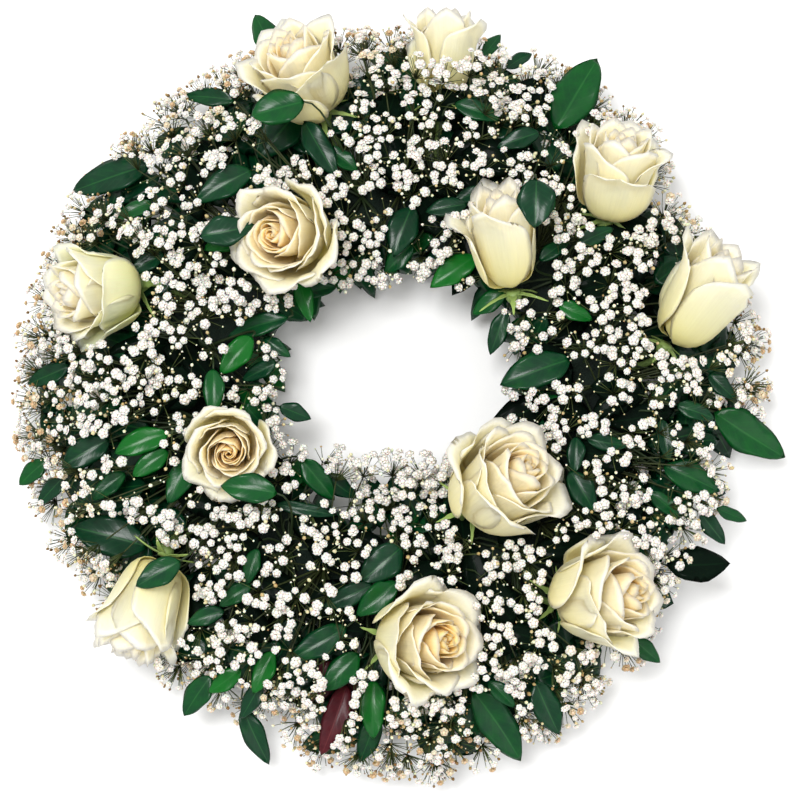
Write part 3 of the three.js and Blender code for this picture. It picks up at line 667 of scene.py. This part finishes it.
def make_rose_stem(bloom):
    basket = Basket(f"rose_{bloom.name}_stem_and_sepals")
    neck = bloom.base - NECK_DEPTH * bloom.axis
    path = smooth_path(bloom.foot, bloom.foot + [0, 0, 14], bloom.bend, neck, steps=14)
    radii = np.interp(np.linspace(0, 1, 14), [0, 0.9, 1], [2.4, 2.2, 2.6])
    points, faces = tube(path, radii, 10)
    basket.put(points, faces, ROSE_STEM, "stem_place", alike(points, 0.25, 0.5, 0))
    points, faces = tube([(0, 0, height) for height, _ in CUP], [radius for _, radius in CUP], 14)
    basket.put(bloom.place(points), faces, ROSE_STEM, "stem_place", alike(points, 0.45, 0.5, 0))
    apart = 360 / SEPALS
    first = chance.random() * apart
    for k in range(SEPALS):
        outward, across = polar(1, first + apart * k), polar(1, first + apart * k + 90)
        sheet, place = sepal_sheet(across, outward, chance.random(3))
        points, faces, keep = thin_shell(sheet, 0.7)
        basket.put(bloom.place(points), faces, ROSE_STEM, "stem_place", place.reshape(-1, 3)[keep])
    return basket.pour("rose_green", f"rose_{bloom.name}_stem")


stem_pieces = [make_rose_stem(bloom) for bloom in blooms]
print("stems with sepals:", len(stem_pieces))

# %% [markdown]
# ## Leaves
#
# The foliage is sixteen leafy sprigs. Each leaf is a thin closed shell: a grid of points along and across
# the blade, folded a little at the midrib, drooping towards its tip and slightly waved at the edge. The
# rows give the foot of each leaf, the way it points, its length and its width. A modeller could also bend
# one leaf by hand and copy it, but rows keep every leaf where its solid is.

# %% The rows of leaves
SPRIG_LEAVES = [
    [(203, 7, 58, -45, 24, 12), (111, 14, 72, -160, 49, 25)],
    [(70, 50, 56, -110, 30, 13), (69, 62, 64, -145, 26, 14)],
    [(100, 118, 112, -135, 32, 16), (104, 172, 62, 60, 58, 30), (50, 84, 70, -145, 37, 18),
     (92, 164, 84, -160, 30, 14)],
    [(44, 114, 88, -170, 28, 13), (36, 185, 80, -20, 32, 14), (8, 93, 64, -135, 26, 14),
     (8, 116, 75, -110, 36, 21)],
    [(-49, 154, 80, -35, 26, 13), (-66, 191, 78, -130, 46, 28), (-63, 171, 85, -60, 43, 18),
     (-84, 228, 50, 115, 36, 18)],
    [(-111, 194, 58, 170, 36, 13), (-97, 138, 85, -150, 42, 20), (-94, 101, 92, -155, 38, 18),
     (-67, 71, 62, -75, 31, 13)],
    [(-168, 151, 52, -165, 56, 24), (-73, 42, 72, -165, 42, 15)],
    [(-96, 28, 78, -130, 32, 17), (-219, 14, 48, -160, 31, 14), (-120, 4, 92, -90, 30, 14)],
    [(-189, -38, 66, -150, 36, 19), (-149, -37, 84, -160, 37, 17), (-178, -60, 68, -140, 28, 13),
     (-135, -53, 82, -115, 32, 17)],
    [(-104, -60, 78, -65, 25, 16), (-164, -107, 56, 165, 52, 28), (-64, -51, 64, -50, 33, 16),
     (-138, -121, 88, -150, 32, 18)],
    [(-80, -82, 78, -10, 40, 9), (-50, -59, 60, -35, 26, 13), (-122, -190, 52, -125, 31, 17),
     (-102, -186, 62, -145, 26, 13), (-102, -210, 42, -65, 40, 15), (-81, -175, 68, -115, 30, 14)],
    [(-34, -160, 74, -150, 42, 18), (-26, -177, 72, -135, 33, 18), (-17, -134, 82, -155, 35, 14),
     (-17, -193, 62, -90, 38, 17), (-15, -214, 48, -110, 33, 15), (-2, -132, 88, -140, 34, 17)],
    [(1, -110, 84, -140, 34, 23), (47, -200, 58, -55, 54, 24)],
    [(87, -194, 58, -65, 37, 19)],
    [(109, -61, 82, -60, 31, 17), (196, -84, 52, -50, 26, 12)],
    [(114, -38, 78, -95, 24, 12), (171, -55, 66, -25, 40, 20), (169, -26, 74, -80, 28, 11),
     (180, -16, 70, -20, 26, 12), (207, -17, 50, -30, 56, 26)],
]
MAROON_LEAF = (-34, -195, 54, -110, 49, 17)
# the first four of these stand in front of a rose
SMALL_LEAVES = [
    (-62, 176, 112, 195, 36, 25), (-128, 86, 114, 12, 36, 20), (-77, -80, 116, 172, 36, 19),
    (86, 117, 139, -92, 32, 24), (91, 78, 80, 35, 25, 11), (55, 126, 82, -155, 22, 11),
    (56, 228, 48, 55, 22, 10), (-155, 85, 72, -150, 26, 12), (-81, 13, 66, -155, 25, 11),
    (-220, -59, 48, -135, 26, 12), (-149, -48, 80, -145, 28, 14), (-112, -150, 78, -160, 25, 12),
    (-95, -134, 82, -145, 24, 12), (56, -194, 72, -45, 24, 11), (162, -73, 68, -40, 24, 12),
    (207, -81, 50, -20, 22, 9), (120, -40, 82, -10, 27, 11), (-164, 121, 66, -155, 26, 12),
    (-89, -194, 56, -120, 27, 12), (116, 88, 84, 25, 26, 12), (-90, 31, 58, -35, 22, 10),
    (103, 48, 84, -25, 24, 12), (72, 219, 50, 35, 22, 10), (-66, 61, 58, 15, 25, 11),
    (-79, -15, 60, -20, 22, 12), (-234, -48, 40, -140, 24, 13), (-91, -111, 84, -105, 24, 11),
    (110, -127, 62, -105, 30, 12), (150, -166, 56, -40, 24, 12),
]
BRIGHT_LEAVES = {
    (103, 48), (50, 84), (-94, 101), (-67, 71), (-96, 28), (-149, -37), (-149, -48), (-102, -186),
    (-81, -175), (-17, -193),
}
OUTER_DROOP_RADIUS = 205
INNER_DROOP_RADIUS = 95
print("leaves in rows:", sum(map(len, SPRIG_LEAVES)) + len(SMALL_LEAVES) + 1)

# %% One leaf


class Leaf:
    """Where a leaf grows and how it is bent. tone runs from 0, dark, to 1, fresh green."""

    def __init__(self, row, tone, tilt=None, droop=None, roll=0.0):
        x, y, z, self.heading, self.length, self.width = row
        radius = math.hypot(x, y)
        hanging = radius > OUTER_DROOP_RADIUS or radius < INNER_DROOP_RADIUS
        self.foot = np.array([x, y, z], float)
        self.tone = tone
        self.tilt = (-6 if hanging else 10) if tilt is None else tilt
        self.droop = (0.18 if hanging else 0.22) if droop is None else droop
        self.roll = roll
        self.forward = polar(1, self.heading)
        self.across = np.array([-self.forward[1], self.forward[0], 0])

    def spine(self, u):
        u = np.asarray(u, float)[..., None]
        rise = math.tan(math.radians(self.tilt)) * u - self.droop * u * u
        return self.foot + self.length * (u * self.forward + rise * np.array([0, 0, 1]))

    def half_width(self, u):
        u = np.clip(u, 0, 1)
        return self.width / 2 * np.maximum(np.sin(np.pi * u**0.85), 0) ** 0.75


def settle_on_solid(leaf, node):
    """Lifts a leaf to the height at which its solid was placed, found at the solid leaf's tip."""
    corners = np.array([v.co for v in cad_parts[node].data.vertices]) / MM
    tip = leaf.spine(1.0)
    near = np.linalg.norm(corners[:, :2] - tip[:2], axis=1)
    found = corners[near < 1.0]
    if len(found):
        leaf.foot[2] += found[np.argmin(abs(found[:, 2] - tip[2])), 2] - tip[2]
    return leaf


LEAF_GRID = (15, 9)
DEEP_LEAF_GRID = (9, 5)
LEAF_FOLD = 0.22
LEAF_THICKNESS = 0.55


def leaf_sheet(leaf, draws, grid):
    s, u = np.meshgrid(np.linspace(-1, 1, grid[1]), np.linspace(0, 1, grid[0]))
    reach = leaf.half_width(u) * (1 + 0.05 * np.sin(13 * u + 6 * draws[0] + s))
    reach = np.maximum(reach, 0.35 * (1 - 0.8 * u))
    across = s * reach
    rise = LEAF_FOLD * reach * np.abs(s) * (1.3 - 0.3 * np.abs(s))
    rise += leaf.width * 0.08 * s * s * np.sin(9 * u + 6 * draws[0] + 2 * np.sign(s))
    sway = leaf.length * 0.05 * (draws[1] - 0.5) * np.sin(np.pi * u)
    roll = leaf.roll + math.radians(16) * (draws[2] - 0.5)
    aside = across * math.cos(roll) + sway
    rise = rise + across * math.sin(roll)
    points = leaf.spine(u) + aside[..., None] * leaf.across + rise[..., None] * np.array([0, 0, 1])
    return points, np.stack([s, u, np.full_like(u, leaf.tone)], axis=2)


def add_leaf(basket, leaf, hub, finish, grid=LEAF_GRID):
    """The blade, its stalk and the twig that carries it from the knot of its sprig."""
    sheet, place = leaf_sheet(leaf, chance.random(3), grid)
    points, faces, keep = thin_shell(sheet, LEAF_THICKNESS)
    basket.put(points, faces, finish, "leaf_place", place.reshape(-1, 3)[keep])
    guide = leaf.foot - leaf.forward * min(14, 0.4 * np.linalg.norm(leaf.foot - hub)) - [0, 0, 4]
    steps = 5 if grid is DEEP_LEAF_GRID else 7
    path = smooth_path(hub, guide, leaf.foot, steps=steps)
    points, faces = tube(path, np.linspace(1.0, 0.55, steps), steps - 1)
    basket.put(points, faces, TWIG, "stem_place", alike(points, 0.5, leaf.tone, 0))


# %% [markdown]
# Between the leaves that are seen one by one, the ring is packed with darker foliage. It closes the view
# down to the foam, and hangs over the tray at the outer rim and into the middle. Its darkness is painted
# shade of the depth: dark tones on all of it, and a near-black finish under the cloud and low down. A
# seeded draw places it sector by sector, below the cloud of small flowers, and leaves that would run into
# a bloom are left out.

# %% Cloud height, blooms as obstacles, packed foliage
CLOUD_CENTRE, CLOUD_HALF_WIDTH, CLOUD_BASE, CLOUD_RISE = 152, 104, 14, 92
SECTORS = 16
SECTOR = 360 / SECTORS
# how many leaves of each kind a sector gets, and the sectors with leaves that lap into the middle
PACKED_KINDS = {"under": 12, "outer": 14, "rim": 12, "low": 6, "inner": 5, "lap": 7}
LAP_SECTORS = (11, 12)
LEAF_ROOM = 8
BLOOM_ROOM = 1.05
# how far out the flowers reach: angle, radius
RIM = [
    (0, 248), (18, 246), (25, 240), (35, 222), (46, 252), (60, 252), (90, 253), (130, 258), (150, 258),
    (168, 258), (190, 256), (215, 248), (232, 252), (247, 238), (258, 252), (270, 260), (300, 250),
    (327, 222), (347, 228),
]


def cloud_height(radius):
    share = (np.asarray(radius, float) - CLOUD_CENTRE) / CLOUD_HALF_WIDTH
    return CLOUD_BASE + CLOUD_RISE * np.sqrt(np.clip(1 - share * share, 0, 1))


def rim_at(angle):
    return np.interp(angle, [a for a, _ in RIM], [r for _, r in RIM], period=360)


def inside_bloom(points, grown):
    """Which points lie in the rounded body of any bloom, grown by a factor."""
    points = np.atleast_2d(points)
    hit = np.zeros(len(points), bool)
    for bloom in blooms:
        local = bloom.seen_from_middle(points) / bloom.half_sizes(grown)
        hit |= (local**2).sum(axis=1) < 1
    return hit


def covers_a_leaf(points):
    """Whether a line of points runs over a leaf that is seen, and would hide it from above."""
    for leaf in leaves:
        apart = points[:, None] - leaf.spine(np.linspace(0.1, 1, 7))[None]
        beside = np.hypot(apart[..., 0], apart[..., 1]) < leaf.width / 2 + LEAF_ROOM
        if (beside & (apart[..., 2] > -4)).any():
            return True
    return False


def packed_leaves(sector):
    """Foliage of one sector, darkened as painted shade of the depth, with its finishes: under the cloud, low
    down, at the rim, in the middle.
    """
    found = []
    middle = (sector + 0.5) * SECTOR
    kinds = [kind for kind, count in PACKED_KINDS.items() for _ in range(count)]
    if sector not in LAP_SECTORS:
        kinds = [kind for kind in kinds if kind != "lap"]
    for kind in kinds:
        draws = chance.random(8)
        angle = middle + (draws[0] - 0.5) * SECTOR
        # packed leaves get darker tones than the leaves seen one by one: painted shade of the depth between
        # the flowers
        tone = 0.05 + 0.35 * draws[6]
        if kind == "under":
            radius = 98 + 112 * draws[1]
            place = polar(radius, angle, float(cloud_height(radius)) - 26 - 16 * draws[2])
            leaf = Leaf((*place, 360 * draws[3], 32 + 18 * draws[4], 18 + 9 * draws[5]), tone, 6, 0.2)
        elif kind == "outer":
            place = polar(160 + 38 * draws[1], angle, 24 + 40 * draws[2])
            heading = angle + 130 * (draws[3] - 0.5)
            leaf = Leaf((*place, heading, 32 + 14 * draws[4], 18 + 8 * draws[5]), tone, -10, 0.25)
        elif kind == "rim":
            place = polar(rim_at(angle) - 54 + 24 * draws[1], angle, 18 + 34 * draws[2])
            heading = angle + (58 + 40 * draws[3]) * (1 if draws[4] > 0.5 else -1)
            leaf = Leaf((*place, heading, 30 + 14 * draws[5], 16 + 8 * draws[7]), tone, -6, 0.2)
        elif kind == "low":
            radius = min(168 + 40 * draws[1], rim_at(angle) - 46)
            place = polar(radius, angle, 22 + 12 * draws[2])
            heading = angle + (60 + 50 * draws[3]) * (1 if draws[4] > 0.5 else -1)
            leaf = Leaf((*place, heading, 36 + 14 * draws[5], 22 + 8 * draws[7]), tone, 0, 0.1)
        elif kind == "lap":
            place = polar(92 + 10 * draws[1], angle, 50 + 18 * draws[2])
            heading = angle + 180 + 80 * (draws[3] - 0.5)
            leaf = Leaf((*place, heading, 32 + 9 * draws[4], 16 + 7 * draws[5]), tone, -14, 0.25)
        else:
            place = polar(97 + 10 * draws[1], angle, 34 + 40 * draws[2])
            heading = angle + 180 + 120 * (draws[3] - 0.5)
            leaf = Leaf((*place, heading, 20 + 9 * draws[4], 12 + 6 * draws[5]), 0.25 + tone, -30, 0.4)
        leaf.roll = 0.8 * (draws[7] - 0.5)
        spine = leaf.spine(np.linspace(0, 1, 5))
        if not inside_bloom(spine, BLOOM_ROOM).any() and not covers_a_leaf(spine):
            # leaves under the cloud and low down get the near-black finish, painted shade of the depth
            found.append((leaf, DEPTH_SHADE_LEAF if kind in ("under", "low") else LEAF))
    return found


# %% Sprigs
SOCKET_FLOOR = 22
KNOT_HEIGHT = 56.0


def knot_of(node):
    """The knot of a sprig or spray, found above the foot of its upright stem."""
    corners = np.array([v.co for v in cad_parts[node].data.vertices]) / MM
    reach = np.hypot(corners[:, 0], corners[:, 1])
    foot = corners[(abs(corners[:, 2] - SOCKET_FLOOR) < 0.5) & (abs(reach - 137) < 13)].mean(axis=0)
    return np.array([foot[0], foot[1], KNOT_HEIGHT])


def upright(basket, hub, finish):
    points, faces = tube([hub - [0, 0, 33], hub - [0, 0, 12], hub], [1.5, 1.4, 1.3], 6)
    basket.put(points, faces, finish, "stem_place", alike(points, 0.2, 0.5, 0))


leaves, sprigs = [], []
for k, rows in enumerate(SPRIG_LEAVES):
    node = f"leaf_sprig_{k + 1:02d}"
    grown = []
    for row in rows:
        tone = 0.8 + 0.2 * chance.random() if row[:2] in BRIGHT_LEAVES else 0.25 + 0.35 * chance.random()
        grown.append(settle_on_solid(Leaf(row, tone), node))
    for row in SMALL_LEAVES:
        if int(math.degrees(math.atan2(row[1], row[0])) % 360 // SECTOR) == k:
            tone = 0.8 if row[:2] in BRIGHT_LEAVES else 0.3 + 0.3 * chance.random()
            grown.append(Leaf(row, tone))
    leaves += grown
    sprigs.append((node, grown))
maroon = settle_on_solid(Leaf(MAROON_LEAF, 0.5), "maroon_leaf")
leaves.append(maroon)

for k, (node, grown) in enumerate(sprigs):
    hub = knot_of(node)
    basket = Basket(f"sprig_{k + 1:02d}")
    upright(basket, hub, TWIG)
    for leaf in grown:
        add_leaf(basket, leaf, hub, LEAF)
    for leaf, finish in packed_leaves(k):
        add_leaf(basket, leaf, hub, finish, DEEP_LEAF_GRID)
    basket.pour("leaf", node)

maroon_basket = Basket("dark_red_leaf")
maroon_hub = knot_of("maroon_leaf")
upright(maroon_basket, maroon_hub, TWIG)
add_leaf(maroon_basket, maroon, maroon_hub, MAROON)
for turn, shift, size in ((-24, (-4, 8, -6), 0.7), (18, (5, 12, -8), 0.62), (-8, (-9, 22, -3), 0.5)):
    x, y, z, heading, length, width = MAROON_LEAF
    row = (x + shift[0], y + shift[1], z + shift[2], heading + turn, length * size, width * size)
    add_leaf(maroon_basket, Leaf(row, 0.2 + 0.3 * chance.random()), maroon_hub, MAROON)
maroon_basket.pour("leaf_maroon", "maroon_leaf")
print("leaves seen one by one:", len(leaves))

# %% [markdown]
# ## Gypsophila
#
# A spray of gypsophila branches again and again and ends in hundreds of tiny double flowers and round
# buds. Here the flowers stand in small clusters. Each cluster grows from a fork a little way below it,
# and each fork from the knot of its spray. Scattering copies with an instancer would be quicker to set
# up, but only real meshes are exported. First comes one flower: ten petals in two rings, each a thin
# closed wedge, round a crumpled crown.

# %% One floret and one bud
# petals in a ring, reach, lift of the tips, turn of the ring
FLORET_RINGS = [(5, 1.0, 0.22, 0.0), (5, 0.82, 0.6, 0.5)]
FLORET_PETAL_WIDTH = 0.58
FLORET_CROWN_RADIUS = 0.52


def floret_shape():
    """A double flower of radius 1, foot at the origin: points, faces, and how far out each point is."""
    points, faces, out = [], [], []
    up = np.array([0, 0, 1.0])
    for count, reach, lift, first in FLORET_RINGS:
        for k in range(count):
            turn = 2 * math.pi * (k + first) / count
            ahead = np.array([math.cos(turn), math.sin(turn), 0])
            aside = np.array([-ahead[1], ahead[0], 0]) * FLORET_PETAL_WIDTH * reach
            start = len(points)
            middle = ahead * reach * 0.62 + up * lift * 0.8
            tip = ahead * reach + up * lift
            points += [up * 0.02, middle - aside, tip - 0.45 * aside, tip + 0.45 * aside, middle + aside]
            points.append(middle + up * 0.14)
            out += [0.0, 0.75, 1.0, 1.0, 0.75, 0.6]
            blade = [(0, 1, 5), (1, 2, 5), (2, 3, 5), (3, 4, 5), (4, 0, 5), (0, 4, 3), (0, 3, 2), (0, 2, 1)]
            faces += [[start + c for c in face] for face in blade]
    start = len(points)
    points += [up * 0.1, up]
    for k in range(6):
        turn = math.pi * k / 3
        edge = FLORET_CROWN_RADIUS * np.array([math.cos(turn), math.sin(turn), 0])
        points.append(edge + up * (0.6 + 0.2 * (k % 2)))
        here, after = start + 2 + k, start + 2 + (k + 1) % 6
        faces += [[start + 1, here, after], [start, after, here]]
    out += [0.5, 0.9] + [0.8, 0.95] * 3
    return np.array(points), np.array(faces), np.array(out)


def bud_shape():
    """A round bud of radius 1, a little longer than wide, its foot at the origin."""
    rings = [(0.0, 0.0), (0.75, 0.45), (1.0, 1.15), (0.6, 1.95), (0.0, 2.4)]
    points, faces = [[0, 0, 0.0]], []
    for radius, height in rings[1:-1]:
        for k in range(5):
            turn = 2 * math.pi * k / 5
            points.append([radius * math.cos(turn), radius * math.sin(turn), height])
    points.append([0, 0, rings[-1][1]])
    for k in range(5):
        after = (k + 1) % 5
        faces.append([0, 1 + after, 1 + k])
        faces += [[1 + k, 1 + after, 6 + after], [1 + k, 6 + after, 6 + k]]
        faces += [[6 + k, 6 + after, 11 + after], [6 + k, 11 + after, 11 + k]]
        faces.append([11 + k, 11 + after, 16])
    points = np.array(points, float)
    return points, np.array(faces), points[:, 2] / 2.4


def speck_shape():
    """A bud that has barely formed, as a small closed lozenge with its foot at the origin."""
    points = np.array([[0, 0, 0], [1, 0, 1], [0, 1, 1], [-1, 0, 1], [0, -1, 1], [0, 0, 2.1]], float)
    faces = [[0, 2, 1], [0, 3, 2], [0, 4, 3], [0, 1, 4], [5, 1, 2], [5, 2, 3], [5, 3, 4], [5, 4, 1]]
    return points, np.array(faces), points[:, 2] / 2.1


FLORET_SHAPE, BUD_SHAPE, SPECK_SHAPE = floret_shape(), bud_shape(), speck_shape()
print("triangles in a floret:", len(FLORET_SHAPE[1]), "and in a bud:", len(BUD_SHAPE[1]))

# %% [markdown]
# Where may flowers stand? Not in a bloom, and not between the camera side and a bloom or a leaf that is
# seen. For each point a line of sight is followed on down from overhead: if it meets a leaf or a bloom
# below the point, the point is dropped, so leaves and roses stay in view with flowers close around their
# edges.

# %% Where flowers may stand
EYE = np.array(camera.location) / MM
HOLE_CENTRE, HOLE_REACH = np.array([-4.0, 11.0]), np.array([73.0, 52.0])


def over_a_leaf(points, share):
    """Which points hide a leaf, within a share of its width."""
    hit = np.zeros(len(points), bool)
    for leaf in leaves:
        height = leaf.spine(0.45)[2]
        drop = (points[:, 2] - height)[:, None]
        seen = points + (points - EYE) * np.clip(drop, 0, None) / (EYE[2] - points[:, 2])[:, None]
        local = (seen - leaf.foot)[:, :2]
        u = local @ leaf.forward[:2] / leaf.length
        side = np.abs(local @ leaf.across[:2])
        hit |= (u > 0.02) & (u < 0.98) & (side < share * leaf.half_width(u)) & (drop[:, 0] > -4)
    return hit


def over_a_bloom(points, grown):
    """Which points lie in a bloom, or hide one."""
    hit = np.zeros(len(points), bool)
    for bloom in blooms:
        size = bloom.half_sizes(grown)
        local = bloom.seen_from_middle(points) / size
        sight = unit((points - EYE) @ bloom.lean / size)
        closest = -(local * sight).sum(axis=1)
        apart = (local**2).sum(axis=1) - closest**2
        hit |= ((apart < 1) & (closest > 0)) | ((local**2).sum(axis=1) < 1)
    return hit


def in_the_hole(points):
    return (((points[:, :2] - HOLE_CENTRE) / HOLE_REACH) ** 4).sum(axis=1) < 1


CELLS_AROUND = [(i, j, k) for i in (-1, 0, 1) for j in (-1, 0, 1) for k in (-1, 0, 1)]


def spaced(points, gap, most):
    """Keeps points in their order, each at least gap from those kept before it."""
    cells, kept = {}, []
    for index, point in enumerate(points):
        cell = tuple((point // gap).astype(int))
        near = [cells.get((cell[0] + i, cell[1] + j, cell[2] + k), []) for i, j, k in CELLS_AROUND]
        if all(np.dot(point - other, point - other) >= gap * gap for group in near for other in group):
            cells.setdefault(cell, []).append(point)
            kept.append(index)
            if len(kept) == most:
                break
    return np.array(kept)


# %% Forks and their clusters
CLUSTER_TRIES = 9000
CLUSTER_GAP = 17.5
TOP_CLUSTERS, FLANK_CLUSTERS = 345, 125
HOLE_EDGE = 54
TOP_DEPTH = 12
FLANK_WIDTH, FLANK_DEPTH, FLANK_FLOOR = 58, 14, 30


def draw_clusters(tries, flank):
    angle = chance.random(tries) * 360
    rim = rim_at(angle)
    radius = np.sqrt(HOLE_EDGE**2 + chance.random(tries) * (rim**2 - HOLE_EDGE**2))
    depth = chance.random(tries) ** 1.3 * TOP_DEPTH
    if flank:
        radius = rim - FLANK_WIDTH * chance.random(tries)
    level = cloud_height(radius - np.interp(radius, [CLOUD_CENTRE, 250], [0, 1]) * (rim - 250))
    if flank:
        depth = FLANK_DEPTH + chance.random(tries) * np.clip(level - FLANK_FLOOR, 0, None)
    turn = np.radians(angle)
    points = np.stack([radius * np.cos(turn), radius * np.sin(turn), level - depth], axis=1)
    bad = over_a_leaf(points, 1.0) | over_a_bloom(points, 1.08) | in_the_hole(points)
    return points[~bad]


top = draw_clusters(CLUSTER_TRIES, False)
flank = draw_clusters(CLUSTER_TRIES // 3, True)
top = top[spaced(top, CLUSTER_GAP, TOP_CLUSTERS)]
flank = flank[spaced(flank, CLUSTER_GAP, FLANK_CLUSTERS)]
FRONT_CLUSTERS = [
    (10, 199, 86), (27, 193, 92), (45, 199, 86), (11, 208, 103), (30, 204, 106), (48, 210, 101),
    (117, 106, 98), (128, 96, 92), (109, 120, 102), (162, 38, 92), (171, 22, 86), (190, 11, 80),
    (-168, 86, 92), (-160, 70, 95), (52, 64, 84), (-146, -104, 84), (12, -52, 78), (26, -62, 84),
    (-4, -50, 74), (-20, -52, 76), (6, -68, 88), (-36, -56, 78), (38, -100, 98),
]
clusters = np.concatenate([top, flank, FRONT_CLUSTERS])
print("clusters on top:", len(top), "and on the flank:", len(flank))

# %% Flowers and buds of every cluster
FLORET_RADIUS = (2.3, 3.8)
BUD_RADIUS = (1.0, 1.6)
SPECK_RADIUS = (0.6, 0.95)
FLORETS_PER_CLUSTER = 12
BUDS_PER_CLUSTER = 4
SPECKS_PER_CLUSTER = 11
FLORET_GAP = 4.0
FORK_DEPTH = 17
LOWEST_FLOWER = 7
RIM_START = 205
# reach and fall of the dome on which they stand
FLORET_DOME, BUD_DOME, SPECK_DOME = (10.5, 4.0), (14.0, 9.0), (15.0, 7.0)


def around(centre, up, count, reach, dome):
    """Points on a small dome round a centre, facing up along its own axis."""
    aside = unit(np.cross(up, [0.3, 0.9, 0.1]))
    lift = np.cross(up, aside)
    turn, far = chance.random(count) * 2 * np.pi, reach * np.sqrt(chance.random(count))
    flat = far[:, None] * (np.cos(turn)[:, None] * aside + np.sin(turn)[:, None] * lift)
    drop = -dome * (far / reach) ** 2 + 3.5 * (chance.random(count) - 0.5)
    return centre + flat + drop[:, None] * up


florets, buds, specks = [], [], []
for index, centre in enumerate(clusters):
    ring_angle = math.degrees(math.atan2(centre[1], centre[0]))
    knot = polar(RING_RADIUS, ring_angle, KNOT_HEIGHT)
    up = unit(unit(centre - knot) + [0, 0, 0.9])
    fork = centre - FORK_DEPTH * up
    outer = np.clip((math.hypot(*centre[:2]) - RIM_START) / 40, 0, 1)
    count = FLORETS_PER_CLUSTER - int(round(3 * outer)) - int(chance.integers(0, 3))
    for spot in around(centre, up, count, *FLORET_DOME):
        florets.append((spot, fork, index))
    for spot in around(centre, up, BUDS_PER_CLUSTER + int(round(5 * outer)), *BUD_DOME):
        buds.append((spot, fork, index))
    for spot in around(centre - 5 * up, up, SPECKS_PER_CLUSTER + int(round(7 * outer)), *SPECK_DOME):
        specks.append((spot, fork, index))


def in_view(group, leaf_share, grown):
    """Drops what would hide a leaf or a bloom, but not from the clusters that stand before a bloom."""
    spots = np.array([member[0] for member in group])
    in_front = np.array([member[2] for member in group]) >= len(top) + len(flank)
    bad = np.where(in_front, inside_bloom(spots, 1.04), over_a_bloom(spots, grown))
    bad |= over_a_leaf(spots, leaf_share) | in_the_hole(spots) | (spots[:, 2] < LOWEST_FLOWER)
    return [member for member, hit in zip(group, bad) if not hit]


florets = in_view(florets, 1.05, 1.0)
kept = spaced(np.array([f[0] for f in florets]), FLORET_GAP, len(florets) + 1)
florets = [florets[i] for i in kept]
buds = in_view(buds, 1.0, 1.02)
specks = in_view(specks, 1.0, 1.02)
print("florets:", len(florets), "buds:", len(buds), "specks:", len(specks))

# %% Sprays


def planted(shape, spots, headings, sizes):
    """Copies of a shape, each standing at its spot, turned to its heading and scaled."""
    points, faces, out = shape
    headings = unit(headings)
    aside = unit(np.cross(headings, [0.37, 0.11, 0.92]))
    lift = np.cross(headings, aside)
    spin = chance.random(len(spots)) * 2 * np.pi
    first = np.cos(spin)[:, None] * aside + np.sin(spin)[:, None] * lift
    second = np.cross(headings, first)
    axes = np.stack([first, second, headings], axis=1)
    placed = np.einsum("pk,nkc->npc", points, axes) * sizes[:, None, None] + spots[:, None]
    index = faces[None] + (np.arange(len(spots)) * len(points))[:, None, None]
    return placed.reshape(-1, 3), index.reshape(-1, 3), np.tile(out, len(spots))


def sector_of(point):
    return int(round(math.degrees(math.atan2(point[1], point[0])) % 360 / SECTOR)) % SECTORS


def stem_to(basket, path, radii, height, sides=3):
    points, faces = tube(path, radii, sides)
    marks = alike(points, height, chance.random(), 0)
    basket.put(points, faces, FINE_STEM, "stem_place", marks)


GROUPS = [
    (FLORET_SHAPE, florets, FLORET_RADIUS, 0.0),
    (BUD_SHAPE, buds, BUD_RADIUS, 1.0),
    (SPECK_SHAPE, specks, SPECK_RADIUS, 1.0),
]
floret_total = 0
for k in range(SECTORS):
    node = f"gypsophila_spray_{k + 1:02d}"
    hub = knot_of(node)
    flowers, stems = Basket(f"gypsophila_{k + 1:02d}"), Basket(f"gypsophila_{k + 1:02d}_stems")
    upright(stems, hub, FINE_STEM)
    mine = [i for i, centre in enumerate(clusters) if sector_of(centre) == k]
    for shape, group, sizes, kind in GROUPS:
        own = [g for g in group if g[2] in mine]
        spots, forks = np.array([g[0] for g in own]), np.array([g[1] for g in own])
        size = sizes[0] + (sizes[1] - sizes[0]) * chance.random(len(own))
        heading = unit(unit(spots - forks) + [0, 0, 0.35])
        outer = np.clip((np.hypot(spots[:, 0], spots[:, 1]) - RIM_START) / 45, 0, 1)
        size *= 1 - 0.25 * outer
        points, faces, out = planted(shape, spots, heading, size)
        draw = np.clip(chance.random(len(own)) * (0.75 + 0.5 * outer) + 0.15 * outer * kind, 0, 1)
        marks = np.stack([out, np.repeat(draw, len(shape[0])), np.full(len(out), kind)], axis=1)
        flowers.put(points, faces, FLORET, "floret_place", marks)
        for spot, fork in zip(spots, forks):
            belly = (spot + fork) / 2 + 1.2 * (chance.random(3) - 0.5)
            path = [fork, spot] if shape is SPECK_SHAPE else [fork, belly, spot]
            stem_to(stems, path, np.linspace(0.34, 0.22, len(path)), 0.25 + 0.5 * chance.random())
        floret_total += len(own)
    for i in mine:
        fork = next((g[1] for g in florets + buds if g[2] == i), None)
        if fork is None:
            continue
        guide = hub + 0.5 * (fork - hub) + [0, 0, 4 - 8 * chance.random()]
        path = smooth_path(hub, guide, fork, steps=6)
        stem_to(stems, path, np.linspace(0.8, 0.45, 6), 0.15 + 0.2 * chance.random(), 4)
    flowers.pour("floret", node)
    stems.pour("rose_green")
print("florets and buds planted:", floret_total)
